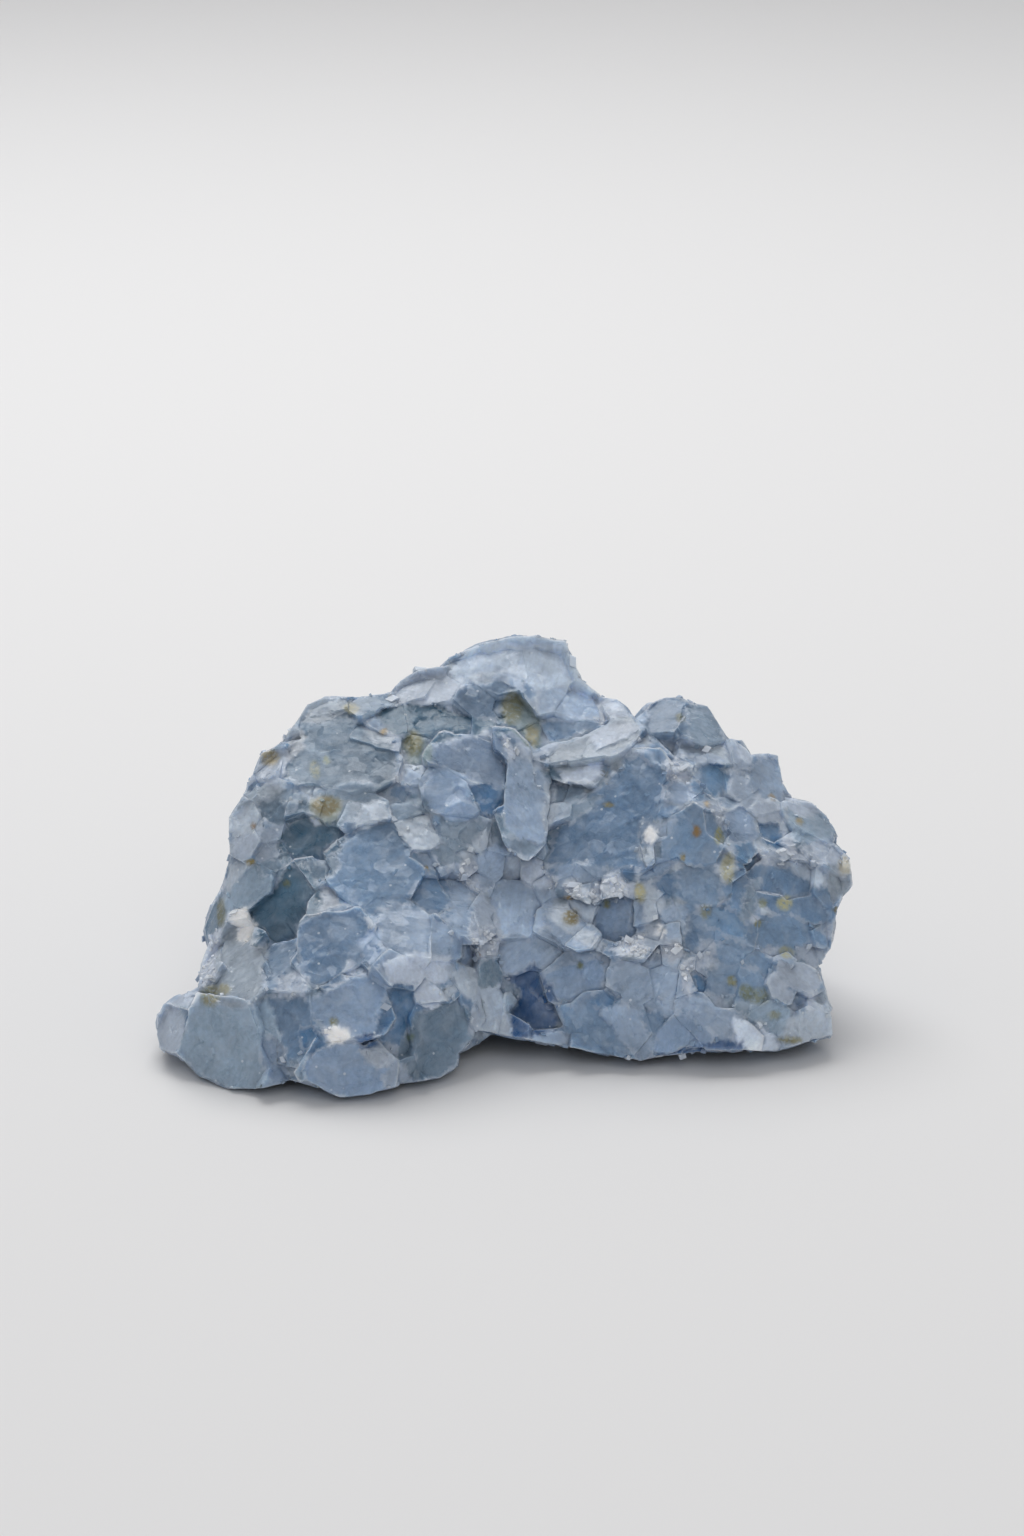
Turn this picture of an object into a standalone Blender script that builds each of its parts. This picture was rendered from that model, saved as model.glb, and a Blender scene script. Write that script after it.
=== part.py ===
# Rough blue calcite: one lump of blocky crystals grown together, standing on three flat feet.
#
# The lump is a smooth form first, set out by hand as an outline, a front, a back and an underside.
# Every crystal face is then a flat facet laid on that form. Each facet is held by two seeds, one
# just inside the stone and one just outside, and the stone is all the space that lies nearer to an
# inside seed than to an outside one. That makes every facet flat, with a small step or ledge where
# two neighbours don't meet, and the whole a single closed solid. Lengths are in millimetres here
# and turn to metres in the last step. X is to the right, Y goes away and Z is up.

import math

import bmesh
import bpy
import numpy as np

# The front of the stone is set out as it is seen from this far away and this high up. There u is
# millimetres to the right, v is up, and w is how far a point lies behind the middle of the stone.
VIEW_UP_DEG = 18.0
VIEW_DISTANCE = 426.7
VIEW_AXIS = (1.2, 13.2)

# Where the middle of that view sits in the stone's own frame.
MIDDLE = (0.0, -3.0, 13.7)

# The point inside the stone that the smooth form is measured from, in the same frame.
HEART = (0.0, 0.5, 13.0)

# What moves the finished stone so that the middle of its box stands on the Z axis.
CENTRE = (-0.70, -1.39, 0.0)

SEED = 11
BACK_SEED = 16
STEP_JITTER = 0.28
TILT_JITTER_DEG = 5.0

# The outline from the left toe upwards and round, as u, v, w.
OUTLINE = [
    (-34.3, -13.0, -4.0), (-34.2, -11.5, -4.0), (-33.5, -10.4, -3.0), (-32.0, -9.5, -2.0),
    (-30.0, -8.6, -1.0), (-29.8, -6.2, 0.0), (-29.2, -4.6, 2.0), (-29.6, -3.0, 4.0),
    (-28.7, -0.5, 3.5), (-27.7, 1.5, 3.0), (-27.0, 4.0, 1.5), (-27.1, 6.2, 1.0),
    (-27.0, 8.3, 1.0), (-25.8, 10.2, 2.0), (-24.8, 12.4, 4.0), (-23.8, 14.6, 5.0),
    (-21.6, 15.8, 6.5), (-20.6, 17.4, 7.5), (-19.3, 19.5, 8.5), (-17.5, 20.2, 9.5),
    (-14.0, 20.3, 10.0), (-11.0, 20.7, 11.0), (-10.0, 21.9, 11.5), (-8.3, 22.9, 12.0),
    (-6.0, 23.3, 12.5), (-5.1, 24.2, 13.0), (-2.2, 25.5, 13.5), (0.5, 26.2, 14.0),
    (3.0, 26.4, 14.0), (6.6, 25.9, 13.5), (7.0, 24.3, 13.0), (8.2, 21.9, 12.5),
    (10.0, 20.4, 12.0), (11.7, 20.0, 12.0), (13.4, 18.3, 11.5), (14.4, 19.4, 11.5),
    (16.5, 20.2, 11.0), (18.3, 20.1, 11.0), (19.2, 19.5, 11.0), (20.8, 19.4, 11.0),
    (21.9, 17.6, 10.5), (22.8, 15.9, 10.0), (24.2, 16.0, 10.0), (25.1, 14.5, 10.0),
    (26.9, 14.6, 9.5), (27.8, 14.4, 9.0), (28.2, 11.6, 8.5), (29.2, 10.1, 8.0),
    (31.2, 9.7, 7.0), (32.6, 8.4, 6.5), (33.5, 6.5, 6.0), (33.5, 5.6, 5.0),
    (35.0, 4.0, 2.5), (35.3, 1.6, 1.0), (34.2, 0.3, 0.5), (33.6, -1.2, 0.0),
    (33.3, -3.3, 0.0), (33.1, -4.9, -0.5), (31.8, -6.6, -1.0), (32.4, -8.7, -1.5),
    (33.1, -11.0, -2.5), (33.2, -13.5, -3.0), (30.5, -14.2, -4.0), (27.5, -15.1, -5.0),
    (24.0, -15.0, -5.5), (20.0, -15.2, -6.0), (16.5, -15.6, -6.5), (14.0, -16.0, -6.5),
    (11.0, -15.5, -6.0), (7.0, -14.7, -5.6), (3.0, -14.0, -5.0), (-0.8, -13.3, -4.8),
    (-2.4, -14.4, -4.5), (-4.2, -15.4, -6.0), (-4.2, -16.6, -8.5), (-6.0, -17.8, -10.5),
    (-9.8, -18.4, -12.0), (-13.0, -19.4, -13.0), (-16.0, -19.8, -13.5), (-18.0, -18.7, -13.5),
    (-21.0, -18.0, -13.0), (-24.5, -18.9, -12.0), (-27.5, -18.8, -10.5), (-30.0, -17.6, -9.0),
    (-32.0, -15.7, -7.0), (-34.0, -14.8, -5.0),
]

# Points on the front of the smooth form, as u, v, w.
FRONT = [
    (-16.0, -14.0, -15.5), (-25.0, -14.0, -12.5), (-30.0, -12.0, -8.0), (-20.0, -6.0, -11.0),
    (-26.0, -6.0, -5.5), (-16.0, -6.0, -11.5), (-10.0, -10.0, -13.5), (-5.0, -13.0, -10.5),
    (-9.0, -4.0, -10.5), (-4.0, -6.0, -7.5), (-21.0, 0.0, -5.5), (-25.0, 2.0, -2.5),
    (-13.0, 2.0, -6.0), (-6.0, 0.0, -5.0), (-20.0, 7.0, -1.5), (-25.0, 8.0, -0.5),
    (-16.0, 14.0, 2.5), (-18.0, 18.0, 6.0), (-10.0, 9.0, -1.0), (-10.0, 16.0, 4.0),
    (-8.0, 20.0, 8.5), (-5.0, 12.0, 0.5), (-3.0, 5.0, -2.0), (-2.0, 17.0, 5.5),
    (0.0, 22.0, 10.5), (5.0, 20.0, 9.0), (2.5, 10.0, 0.0), (8.0, 15.0, 5.0),
    (6.0, 10.0, 2.5), (12.0, 17.0, 6.0), (10.0, 5.0, -2.0), (15.0, 14.0, 3.0),
    (14.0, 7.0, -3.0), (20.0, 5.0, -4.0), (20.0, 12.0, 1.0), (25.0, 7.0, 0.0),
    (24.0, 11.0, 3.5), (28.0, 3.0, -1.5), (32.0, 3.0, 0.0), (20.0, 17.0, 7.0),
    (10.0, -2.0, -3.5), (4.0, -3.0, -4.0), (0.5, -3.0, -4.0), (3.0, -10.0, -5.0),
    (6.0, -7.0, -5.2), (12.0, -10.0, -7.2), (18.0, -3.0, -5.5), (24.0, 0.0, -4.5),
    (30.0, -3.0, -3.0), (19.0, -12.0, -8.2), (25.0, -10.0, -6.8), (30.0, -10.0, -5.2),
    (26.0, -13.5, -7.0), (0.0, -10.0, -5.4), (-2.0, -3.0, -6.0),
    (1.5, -12.3, -5.6),
]

# Points on the back and the underside, as x, y, z in the stone's frame.
BACK = [
    (3.0, 21.5, 31.0), (-8.0, 19.0, 27.5), (10.0, 18.5, 25.0), (0.0, 24.5, 22.0),
    (-12.0, 20.5, 20.0), (12.0, 21.5, 18.5), (22.0, 17.0, 20.0), (21.0, 19.0, 12.0),
    (29.5, 10.5, 16.0), (31.5, 7.0, 9.0), (27.0, 14.0, 5.5), (16.0, 20.5, 4.5),
    (2.0, 24.5, 12.0), (3.0, 22.5, 3.5), (-10.0, 21.5, 10.0), (-13.0, 18.5, 3.0),
    (-21.0, 14.5, 16.0), (-22.5, 14.0, 8.0), (-20.0, 14.5, 2.5), (-27.5, 7.0, 11.0),
    (-28.5, 5.0, 5.0), (-30.0, -3.0, 3.5), (33.0, -2.0, 5.0), (30.0, 4.0, 2.5),
]
UNDER = [
    (0.0, -3.0, 1.6), (-10.0, 5.0, 1.3), (12.0, 3.0, 1.4), (-18.0, -12.0, -1.2),
    (-24.0, -14.5, -0.8), (-13.0, -14.5, -0.9), (-4.0, -8.5, 1.9), (6.0, -7.0, 2.0),
    (-8.0, 12.0, 0.8), (3.0, 17.5, -1.3), (9.0, 15.0, -0.8), (-24.0, -2.0, 1.7),
    (20.0, -3.0, -1.2), (16.5, -7.0, -0.7), (25.0, 0.5, -0.3), (28.0, -6.0, 2.3),
    (22.0, 8.0, 1.6), (-15.0, -3.0, 1.1),
]

# The crystal faces of the front. Each is how far it leans up, how far it turns right, how far it
# stands proud, and the round spots it covers as u, v, radius. All spots of a face share one plane.
GRAINS = [
    # The left foot and the edge above it.
    (0, -4, 0.0, [(-28.0, -14.5, 4.4), (-25.5, -16.5, 2.5)]),
    (8, -8, 0.0, [(-32.4, -12.8, 2.2)]),
    (28, 0, 0.2, [(-31.5, -10.3, 1.3)]),
    (4, -6, 0.1, [(-25.8, -4.6, 2.6), (-25.6, -8.0, 2.8)]),
    (4, -14, 0.2, [(-28.8, -5.6, 1.2), (-29.0, -7.9, 1.0)]),
    (22, -10, 0.5, [(-26.0, -1.8, 1.0), (-25.4, -3.2, 0.9)]),
    (0, -10, -0.6, [(-28.4, -1.8, 1.5)]),
    (0, -8, 0.0, [(-24.7, 1.2, 2.3)]),
    (-12, 6, -0.9, [(-20.8, 1.0, 2.2), (-22.8, -1.5, 2.3), (-20.8, -2.0, 2.0)]),
    (14, 0, 0.1, [(-16.6, 0.0, 1.2)]),
    (0, 0, 0.8, [(-16.5, -4.5, 3.3), (-18.0, -6.5, 2.3), (-14.8, -3.6, 2.2)]),
    (4, -4, 0.0, [(-21.9, -5.7, 1.7)]),
    (18, -4, 0.4, [(-20.8, -8.4, 1.5)]),
    (10, 0, 0.1, [(-15.0, -7.2, 0.8)]),
    # The shelf of blocks at the front foot.
    (-4, -9, 0.0, [(-21.2, -11.5, 2.5), (-20.6, -14.6, 2.3)]),
    (0, 2, 0.6, [(-15.4, -10.8, 3.2), (-13.0, -11.0, 2.4), (-16.0, -8.9, 1.6)]),
    (22, 0, 0.3, [(-16.5, -13.5, 1.1)]),
    (-20, 0, -1.3, [(-13.1, -14.2, 1.0)]),
    (0, 4, 0.2, [(-16.0, -17.0, 3.0), (-12.5, -17.0, 2.2), (-18.6, -16.0, 1.6)]),
    (8, 0, 0.0, [(-22.8, -14.8, 1.3)]),
    (4, 0, 0.0, [(-20.8, -16.9, 1.1)]),
    # The cloudy group left of the middle.
    (2, -3, 0.5, [(-10.3, -1.3, 2.6), (-9.0, -3.8, 3.2)]),
    (8, -12, 0.3, [(-12.6, -5.0, 1.7)]),
    (5, 6, 0.6, [(-9.5, -6.8, 2.4), (-6.0, -7.0, 2.0)]),
    (0, 8, 0.3, [(-6.3, -4.3, 2.5)]),
    (-3, 0, 0.0, [(-7.2, 0.0, 2.2)]),
    (6, 5, 0.1, [(-3.9, 0.5, 1.7), (-4.0, -2.2, 1.8)]),
    (5, 14, 0.2, [(-1.8, -0.3, 1.1), (-1.2, -2.8, 1.3)]),
    (12, 0, 0.2, [(-0.9, -4.7, 1.3)]),
    (-8, 4, -0.7, [(-3.9, -5.4, 1.4)]),
    (0, 4, 0.0, [(-0.8, -7.5, 1.5)]),
    (3, 6, 0.3, [(-3.3, -8.0, 1.6), (-2.8, -10.5, 1.4)]),
    (8, 8, 0.4, [(-0.7, -10.2, 1.6), (-0.4, -12.3, 1.3)]),
    (20, 0, 0.7, [(-7.2, -9.5, 1.5)]),
    (16, 6, 0.3, [(-4.9, -9.2, 0.8)]),
    (-9, 4, -0.6, [(-10.3, -10.5, 1.8), (-10.6, -13.5, 2.2)]),
    (-2, 5, 0.0, [(-7.2, -12.5, 2.5), (-6.5, -15.8, 2.4), (-4.8, -13.0, 1.8)]),
    (-6, 10, -0.3, [(-4.4, -11.0, 1.2)]),
    (10, 0, 0.1, [(-12.0, -15.4, 1.2)]),
    (-4, 0, 0.0, [(-9.5, -17.2, 1.5)]),
    # The crevice, the recess and the wall of the right block.
    (-8, -10, -0.8, [(1.0, -8.6, 0.9)]),
    (10, -6, 0.2, [(1.3, -10.1, 0.9)]),
    (0, -3, 0.3, [(1.5, 0.3, 2.2), (1.3, -2.6, 2.0)]),
    (0, 0, 0.1, [(1.8, -5.5, 2.1), (4.4, -5.3, 2.3)]),
    (4, 0, 0.3, [(5.8, -2.8, 2.5)]),
    (-2, 2, 0.0, [(6.5, -7.8, 2.8), (9.0, -7.3, 2.4)]),
    (-10, -8, -0.8, [(3.2, -9.0, 2.0), (2.9, -11.4, 2.1), (5.0, -12.1, 1.8)]),
    (4, 0, 0.0, [(6.5, -11.0, 1.2)]),
    (12, 0, 0.3, [(5.6, -13.6, 1.1)]),
    (0, -2, 0.3, [(9.3, -11.3, 2.6), (12.5, -12.6, 2.7), (10.0, -13.7, 1.8)]),
    (8, 0, 0.2, [(10.9, -9.6, 1.2)]),
    (6, 4, 0.3, [(11.8, -7.6, 1.8), (13.8, -8.5, 1.9)]),
    (6, -4, 0.1, [(16.2, -8.2, 1.7)]),
    (-6, 0, -0.2, [(15.6, -11.6, 1.5)]),
    (22, 0, 0.5, [(6.0, -1.0, 1.1)]),
    (26, 6, 0.6, [(8.4, -3.6, 1.5)]),
    (22, 0, 0.5, [(10.3, -4.9, 1.0)]),
    (26, -4, 0.4, [(12.3, -5.0, 1.1)]),
    (24, -6, 0.4, [(14.2, -4.6, 1.2)]),
    (-10, 0, -0.8, [(11.7, -1.6, 2.1), (11.5, -3.0, 1.5)]),
    (6, 0, 0.0, [(8.2, -0.7, 1.1)]),
    (20, -10, 0.3, [(6.9, 1.5, 1.0)]),
    (26, 0, 0.5, [(8.4, 1.0, 0.9)]),
    (18, 10, 0.4, [(9.8, 0.8, 0.9)]),
    (30, 4, 0.5, [(11.1, 1.4, 1.0)]),
    (10, -8, 0.2, [(11.3, 3.1, 0.8)]),
    (14, 6, 0.3, [(12.6, 1.7, 0.9)]),
    (0, 0, 0.1, [(8.5, 3.0, 1.5)]),
    (18, 0, 0.2, [(15.0, 1.3, 1.2)]),
    (16, 6, 0.4, [(14.7, -1.2, 1.2)]),
    (10, -6, 0.2, [(15.3, -3.0, 1.0)]),
    (4, 8, 0.1, [(16.8, -1.0, 1.2)]),
    (14, 6, 0.3, [(17.3, -3.5, 1.0)]),
    (12, 0, 0.2, [(17.2, -5.6, 1.2)]),
    (2, 0, 0.0, [(15.3, -5.9, 1.0)]),
    (-2, -2, 0.0, [(19.8, -3.4, 1.8), (20.5, -1.7, 1.3)]),
    (10, -5, 0.3, [(18.7, -6.2, 0.9), (18.5, -8.4, 0.9)]),
    (-10, 0, -0.5, [(20.0, -8.2, 1.1)]),
    # The right block, upper, middle and lower.
    (-3, -3, 0.0, [(17.8, 2.6, 2.1), (20.6, 1.5, 2.4), (18.9, -0.2, 1.6)]),
    (20, -6, 0.6, [(22.8, 3.1, 1.0)]),
    (8, 0, 0.2, [(24.3, 0.9, 0.8)]),
    (-3, 6, 0.0, [(26.8, 2.2, 2.1), (29.3, 1.8, 2.3)]),
    (0, 12, 0.0, [(32.3, 1.3, 1.7)]),
    (-5, 4, -0.2, [(27.0, -0.8, 1.9), (30.5, -1.2, 2.1)]),
    (0, -4, 0.1, [(23.7, -3.4, 2.3), (23.2, -1.0, 1.4)]),
    (-4, 5, -0.1, [(27.0, -3.8, 2.0), (29.8, -4.3, 1.7)]),
    (10, 10, 0.2, [(31.8, -3.5, 1.1)]),
    (4, 8, 0.0, [(30.9, -5.9, 1.2)]),
    (18, 0, 0.4, [(28.4, -5.9, 0.9)]),
    (14, 0, 0.3, [(26.4, -5.4, 0.9)]),
    (-2, -4, 0.1, [(22.5, -5.9, 2.2), (20.9, -6.6, 1.3)]),
    (2, 4, 0.3, [(25.3, -7.2, 2.0), (25.0, -9.5, 2.1)]),
    (-3, -6, 0.0, [(22.5, -8.9, 2.1)]),
    (6, 5, 0.4, [(28.0, -8.3, 1.9), (30.6, -8.0, 1.7)]),
    (-6, 0, -0.4, [(29.6, -10.2, 1.1)]),
    (14, 8, 0.3, [(31.4, -10.3, 0.9)]),
    (4, 8, 0.1, [(31.0, -12.4, 1.8)]),
    (0, 3, 0.0, [(26.5, -11.5, 1.9), (28.6, -12.6, 1.6)]),
    (8, -4, 0.6, [(19.6, -11.4, 2.0), (22.4, -12.6, 1.9), (24.7, -13.4, 1.5)]),
    (9, 2, 0.5, [(27.0, -14.2, 1.0)]),
    (3, -3, 0.2, [(17.3, -13.4, 1.8), (15.0, -14.6, 1.2)]),
    (-20, 0, -0.2, [(18.8, -15.0, 0.8)]),
    (-20, 0, -0.2, [(22.0, -14.8, 0.9)]),
    # The long smooth slope right of the middle and the crest above it.
    (0, -2, -0.3, [
        (6.0, 3.6, 1.7), (7.5, 6.0, 2.5), (10.0, 5.0, 2.9), (10.0, 8.5, 2.9), (12.8, 7.5, 2.6),
        (12.5, 11.0, 2.7), (14.7, 13.0, 2.1), (14.4, 9.8, 2.0), (13.0, 4.2, 1.6),
    ]),
    (14, 6, 0.3, [(15.7, 15.3, 1.3)]),
    (8, 8, 0.1, [(18.2, 11.4, 1.7)]),
    (16, 0, 0.3, [(17.2, 13.4, 0.9)]),
    (4, 4, 0.1, [(17.3, 9.2, 1.1)]),
    (20, -8, 0.5, [(14.9, 6.4, 0.6), (14.4, 4.9, 0.8)]),
    (6, 0, 0.1, [(16.3, 7.3, 0.9)]),
    (-2, -2, 0.2, [(18.7, 7.3, 2.1), (19.5, 4.9, 2.3), (17.0, 4.9, 1.5)]),
    (0, 6, 0.1, [(21.3, 7.2, 1.5)]),
    (16, 4, 0.3, [(20.9, 9.7, 1.0)]),
    (18, 0, 0.3, [(22.6, 9.4, 0.8)]),
    (2, 4, 0.1, [(24.0, 7.6, 1.9), (24.3, 5.4, 1.4)]),
    (-8, 0, -0.3, [(25.0, 3.7, 1.0)]),
    (-6, 6, -0.3, [(27.4, 7.2, 1.6)]),
    (14, 8, 0.4, [(26.6, 5.0, 0.8), (28.2, 4.4, 0.8), (29.8, 3.9, 0.8)]),
    (6, 4, 0.2, [(23.9, 11.7, 1.9)]),
    (10, 6, 0.1, [(26.0, 9.7, 1.6)]),
    (-4, 0, -0.3, [(21.3, 12.0, 1.6)]),
    (6, -4, 0.2, [(16.6, 18.0, 2.2), (17.3, 19.1, 1.2)]),
    (4, 8, 0.2, [(19.7, 17.2, 2.3), (20.4, 18.5, 1.3)]),
    (10, 0, 0.0, [(19.3, 14.7, 1.3)]),
    (8, 6, 0.1, [(21.9, 14.5, 1.3)]),
    (0, 8, 0.1, [(26.6, 13.0, 1.7), (27.0, 11.4, 1.1)]),
    (6, 0, 0.1, [(24.2, 14.4, 1.1)]),
    (4, 8, 0.1, [(30.0, 8.3, 1.6), (31.7, 7.3, 1.5)]),
    (10, 4, 0.2, [(28.9, 6.2, 0.9)]),
    (10, 10, 0.2, [(31.5, 5.0, 1.2)]),
    (8, 14, 0.2, [(33.6, 3.6, 1.1)]),
    (2, 14, 0.0, [(33.5, 1.6, 0.9)]),
    # The peak and the pale blades below it.
    (0, -8, 0.2, [(0.2, 22.8, 2.8), (-2.6, 23.0, 2.1)]),
    (2, 8, 0.3, [(4.4, 23.2, 2.3), (4.6, 20.8, 2.4)]),
    (6, 10, 0.1, [(7.0, 19.4, 1.8), (8.8, 18.7, 1.7)]),
    (-6, 4, -0.2, [(6.0, 16.9, 1.5), (8.4, 17.2, 1.2)]),
    (12, -4, 0.9, [
        (5.9, 14.7, 1.5), (8.0, 15.0, 1.9), (10.3, 16.1, 1.9), (12.3, 17.0, 1.5),
    ]),
    (4, 4, 0.5, [(8.3, 12.8, 1.6), (6.3, 12.9, 1.1)]),
    (10, 4, 0.1, [(11.5, 19.0, 1.1)]),
    (0, 10, -0.2, [(5.7, 11.0, 1.1)]),
    (4, 6, 0.0, [(7.8, 10.9, 1.0)]),
    (0, 12, -0.1, [(6.2, 8.4, 1.0)]),
    (-4, 0, 1.4, [(1.2, 14.9, 0.8), (2.0, 12.8, 1.3), (2.8, 10.0, 2.1), (2.6, 7.8, 2.0)]),
    (0, 16, 0.9, [(4.2, 11.9, 1.0)]),
    (8, 0, 0.0, [(1.2, 18.6, 1.7)]),
    (12, 4, 0.1, [(3.4, 16.2, 1.1)]),
    (-3, 8, 0.2, [(-3.3, 14.0, 2.5), (-1.2, 12.6, 1.9), (-5.5, 14.8, 1.5)]),
    (-10, 4, -0.4, [(-1.3, 10.1, 1.4)]),
    (2, 2, 0.3, [(-6.0, 11.3, 2.1), (-4.4, 9.6, 1.7)]),
    (12, 0, 0.1, [(-8.8, 12.2, 1.0)]),
    (6, -8, 0.0, [(-8.6, 10.5, 0.9)]),
    (4, -2, 0.0, [(-11.0, 17.9, 1.9)]),
    (0, 4, 0.1, [(-7.5, 18.0, 2.2), (-4.7, 18.0, 1.7)]),
    (0, 0, 0.0, [(-2.6, 19.9, 1.9), (-1.2, 17.9, 1.4)]),
    (6, -6, 0.2, [(-8.3, 21.1, 1.7)]),
    (4, 0, 0.1, [(-5.6, 20.8, 1.5)]),
    (6, -2, 0.1, [(-12.9, 19.6, 1.4)]),
    (-8, 0, -0.2, [(-8.2, 15.0, 1.4)]),
    (18, 0, 0.2, [(-13.0, 16.4, 0.8), (-11.3, 15.8, 0.8)]),
    # The big upper-left face and the small crystals under it.
    (3, -4, 0.3, [
        (-18.0, 14.5, 3.0), (-15.0, 13.5, 2.9), (-17.5, 17.0, 2.3), (-12.3, 13.2, 2.1),
        (-20.3, 13.3, 1.6),
    ]),
    (8, -6, 0.1, [(-17.5, 19.0, 1.4)]),
    (12, -14, 0.1, [(-21.3, 15.6, 1.1)]),
    (4, -14, 0.1, [(-23.4, 13.2, 1.6)]),
    (-4, -6, -0.1, [(-22.4, 10.0, 1.7)]),
    (16, 0, 0.3, [(-20.4, 9.8, 1.1)]),
    (14, 6, 0.2, [(-18.4, 9.3, 1.0)]),
    (6, -12, 0.4, [(-25.8, 8.0, 1.5), (-25.6, 5.8, 1.5)]),
    (10, -12, 0.1, [(-24.6, 11.0, 1.0)]),
    (8, 0, 0.0, [(-23.3, 6.9, 1.1)]),
    (4, 6, 0.0, [(-22.8, 4.4, 1.2)]),
    (-10, 4, -0.6, [(-19.3, 6.2, 2.2), (-17.4, 5.4, 1.6)]),
    (-4, 0, -0.1, [(-16.8, 8.9, 1.3)]),
    (14, -4, 0.6, [(-14.7, 8.6, 1.2), (-12.7, 9.0, 1.5)]),
    (-12, 0, -0.4, [(-10.5, 10.4, 0.9)]),
    (12, 4, 0.6, [(-8.9, 6.8, 1.7), (-7.4, 6.3, 1.5)]),
    (4, 0, 0.0, [(-9.9, 8.9, 0.9)]),
    (2, 0, 0.1, [(-4.6, 6.9, 2.0), (-2.5, 6.4, 1.5)]),
    (-2, 6, 0.0, [(-5.8, 4.6, 1.3)]),
    (0, -2, 0.5, [
        (-12.5, 5.0, 3.1), (-14.3, 2.0, 2.6), (-10.3, 2.0, 2.5), (-15.6, 4.6, 1.3),
    ]),
    (16, 0, 0.3, [(-3.3, 3.8, 1.3)]),
    (10, 6, 0.3, [(-0.9, 3.6, 1.5)]),
    (8, -6, 0.1, [(-2.0, 1.8, 1.2)]),
    (12, 8, 0.1, [(-0.4, 5.7, 1.2)]),
    (2, -4, 0.0, [(1.1, 3.2, 1.0)]),
    (16, -4, 0.4, [(3.2, 3.1, 1.3)]),
    (14, 8, 0.3, [(4.1, 1.4, 1.0)]),
    (10, 0, 0.1, [(3.7, 4.9, 0.8)]),
    (-6, 6, -0.2, [(-7.5, 3.9, 0.9)]),
    (6, 4, 0.2, [(-18.8, 2.9, 1.2)]),
    (0, -12, 0.0, [(-26.3, 2.6, 1.1)]),
]

# Crystals fill what the faces above leave bare, and the back carries these large and small ones.
FILL_GAP = 0.95
FILL_RADIUS = 0.9
BACK_TRIES = 2600
BACK_RADIUS = (1.5, 3.6)
BACK_TILT_DEG = 13.0
BACK_SHEETS = 16
RIM_STEP = 1.2
GUARD_REACH = 5.0
GUARD_LENGTHS = 2
ON_PLANE = 1e-6
WELD = 0.004


def unit(vectors):
    vectors = np.asarray(vectors, float)
    return vectors / np.linalg.norm(vectors, axis=-1, keepdims=True)


def view_axes():
    up = math.radians(VIEW_UP_DEG)
    right = np.array([1.0, 0.0, 0.0])
    above = np.array([0.0, math.sin(up), math.cos(up)])
    away = np.array([0.0, math.cos(up), -math.sin(up)])
    return right, above, away


RIGHT, ABOVE, AWAY = view_axes()
EYE = np.array(MIDDLE) + VIEW_AXIS[0] * RIGHT + VIEW_AXIS[1] * ABOVE - VIEW_DISTANCE * AWAY


def place(u, v, w):
    """The point seen at u, v and lying w behind the middle."""
    grow = (VIEW_DISTANCE + w) / VIEW_DISTANCE
    across = VIEW_AXIS[0] + (u - VIEW_AXIS[0]) * grow
    height = VIEW_AXIS[1] + (v - VIEW_AXIS[1]) * grow
    return np.array(MIDDLE) + across * RIGHT + height * ABOVE + w * AWAY


def seen(points):
    """Where points are seen, as u and v."""
    off = np.atleast_2d(points) - EYE
    deep = off @ AWAY
    u = VIEW_AXIS[0] + (off @ RIGHT) * VIEW_DISTANCE / deep
    v = VIEW_AXIS[1] + (off @ ABOVE) * VIEW_DISTANCE / deep
    return np.column_stack([u, v])


class Form:
    """The smooth lump: its reach from the heart in every direction, through the set points."""

    SOFT = 0.14

    def __init__(self, points):
        off = np.array(points) - np.array(HEART)
        reach = np.linalg.norm(off, axis=1)
        self.ways = off / reach[:, None]
        n = len(points)
        ties = self.kernel(self.ways)
        ties[np.arange(n), np.arange(n)] -= 0.004
        plane = np.column_stack([np.ones(n), self.ways])
        whole = np.zeros((n + 4, n + 4))
        whole[:n, :n] = ties
        whole[:n, n:] = plane
        whole[n:, :n] = plane.T
        self.weights = np.linalg.solve(whole, np.concatenate([reach, np.zeros(4)]))

    def kernel(self, ways):
        gap = ways[:, None, :] - self.ways[None, :, :]
        return np.sqrt((gap ** 2).sum(axis=2) + self.SOFT ** 2)

    def reach(self, ways):
        ways = np.atleast_2d(ways)
        plane = np.column_stack([np.ones(len(ways)), ways])
        return self.kernel(ways) @ self.weights[:-4] + plane @ self.weights[-4:]

    def outside(self, points):
        """How far points lie outside the lump along the line from the heart."""
        off = np.atleast_2d(points) - np.array(HEART)
        far = np.linalg.norm(off, axis=1)
        return far - self.reach(off / far[:, None])

    def normal(self, point, size=1.6):
        steps = np.vstack([np.eye(3), -np.eye(3)]) * size
        values = self.outside(point + steps)
        return unit(values[:3] - values[3:])

    def front(self, u, v):
        """The point of the lump seen at u, v."""
        ways = np.linspace(-26.0, 30.0, 113)
        line = np.array([place(u, v, w) for w in ways])
        values = self.outside(line)
        inside = np.nonzero(values < 0.0)[0]
        if len(inside) == 0:
            return line[int(np.argmin(values))]
        k = int(inside[0])
        if k == 0:
            return line[0]
        share = values[k - 1] / (values[k - 1] - values[k])
        return line[k - 1] + (line[k] - line[k - 1]) * share


def leaned(normal, lean_up, turn_right):
    """The normal turned by these degrees, up and to the right."""
    up = np.array([0.0, 0.0, 1.0]) - normal * normal[2]
    up = unit(up) if np.linalg.norm(up) > 0.05 else unit(ABOVE - normal * (normal @ ABOVE))
    side = np.cross(up, normal)
    turned = normal + math.tan(math.radians(lean_up)) * up
    turned = turned + math.tan(math.radians(turn_right)) * side
    return unit(turned)


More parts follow.
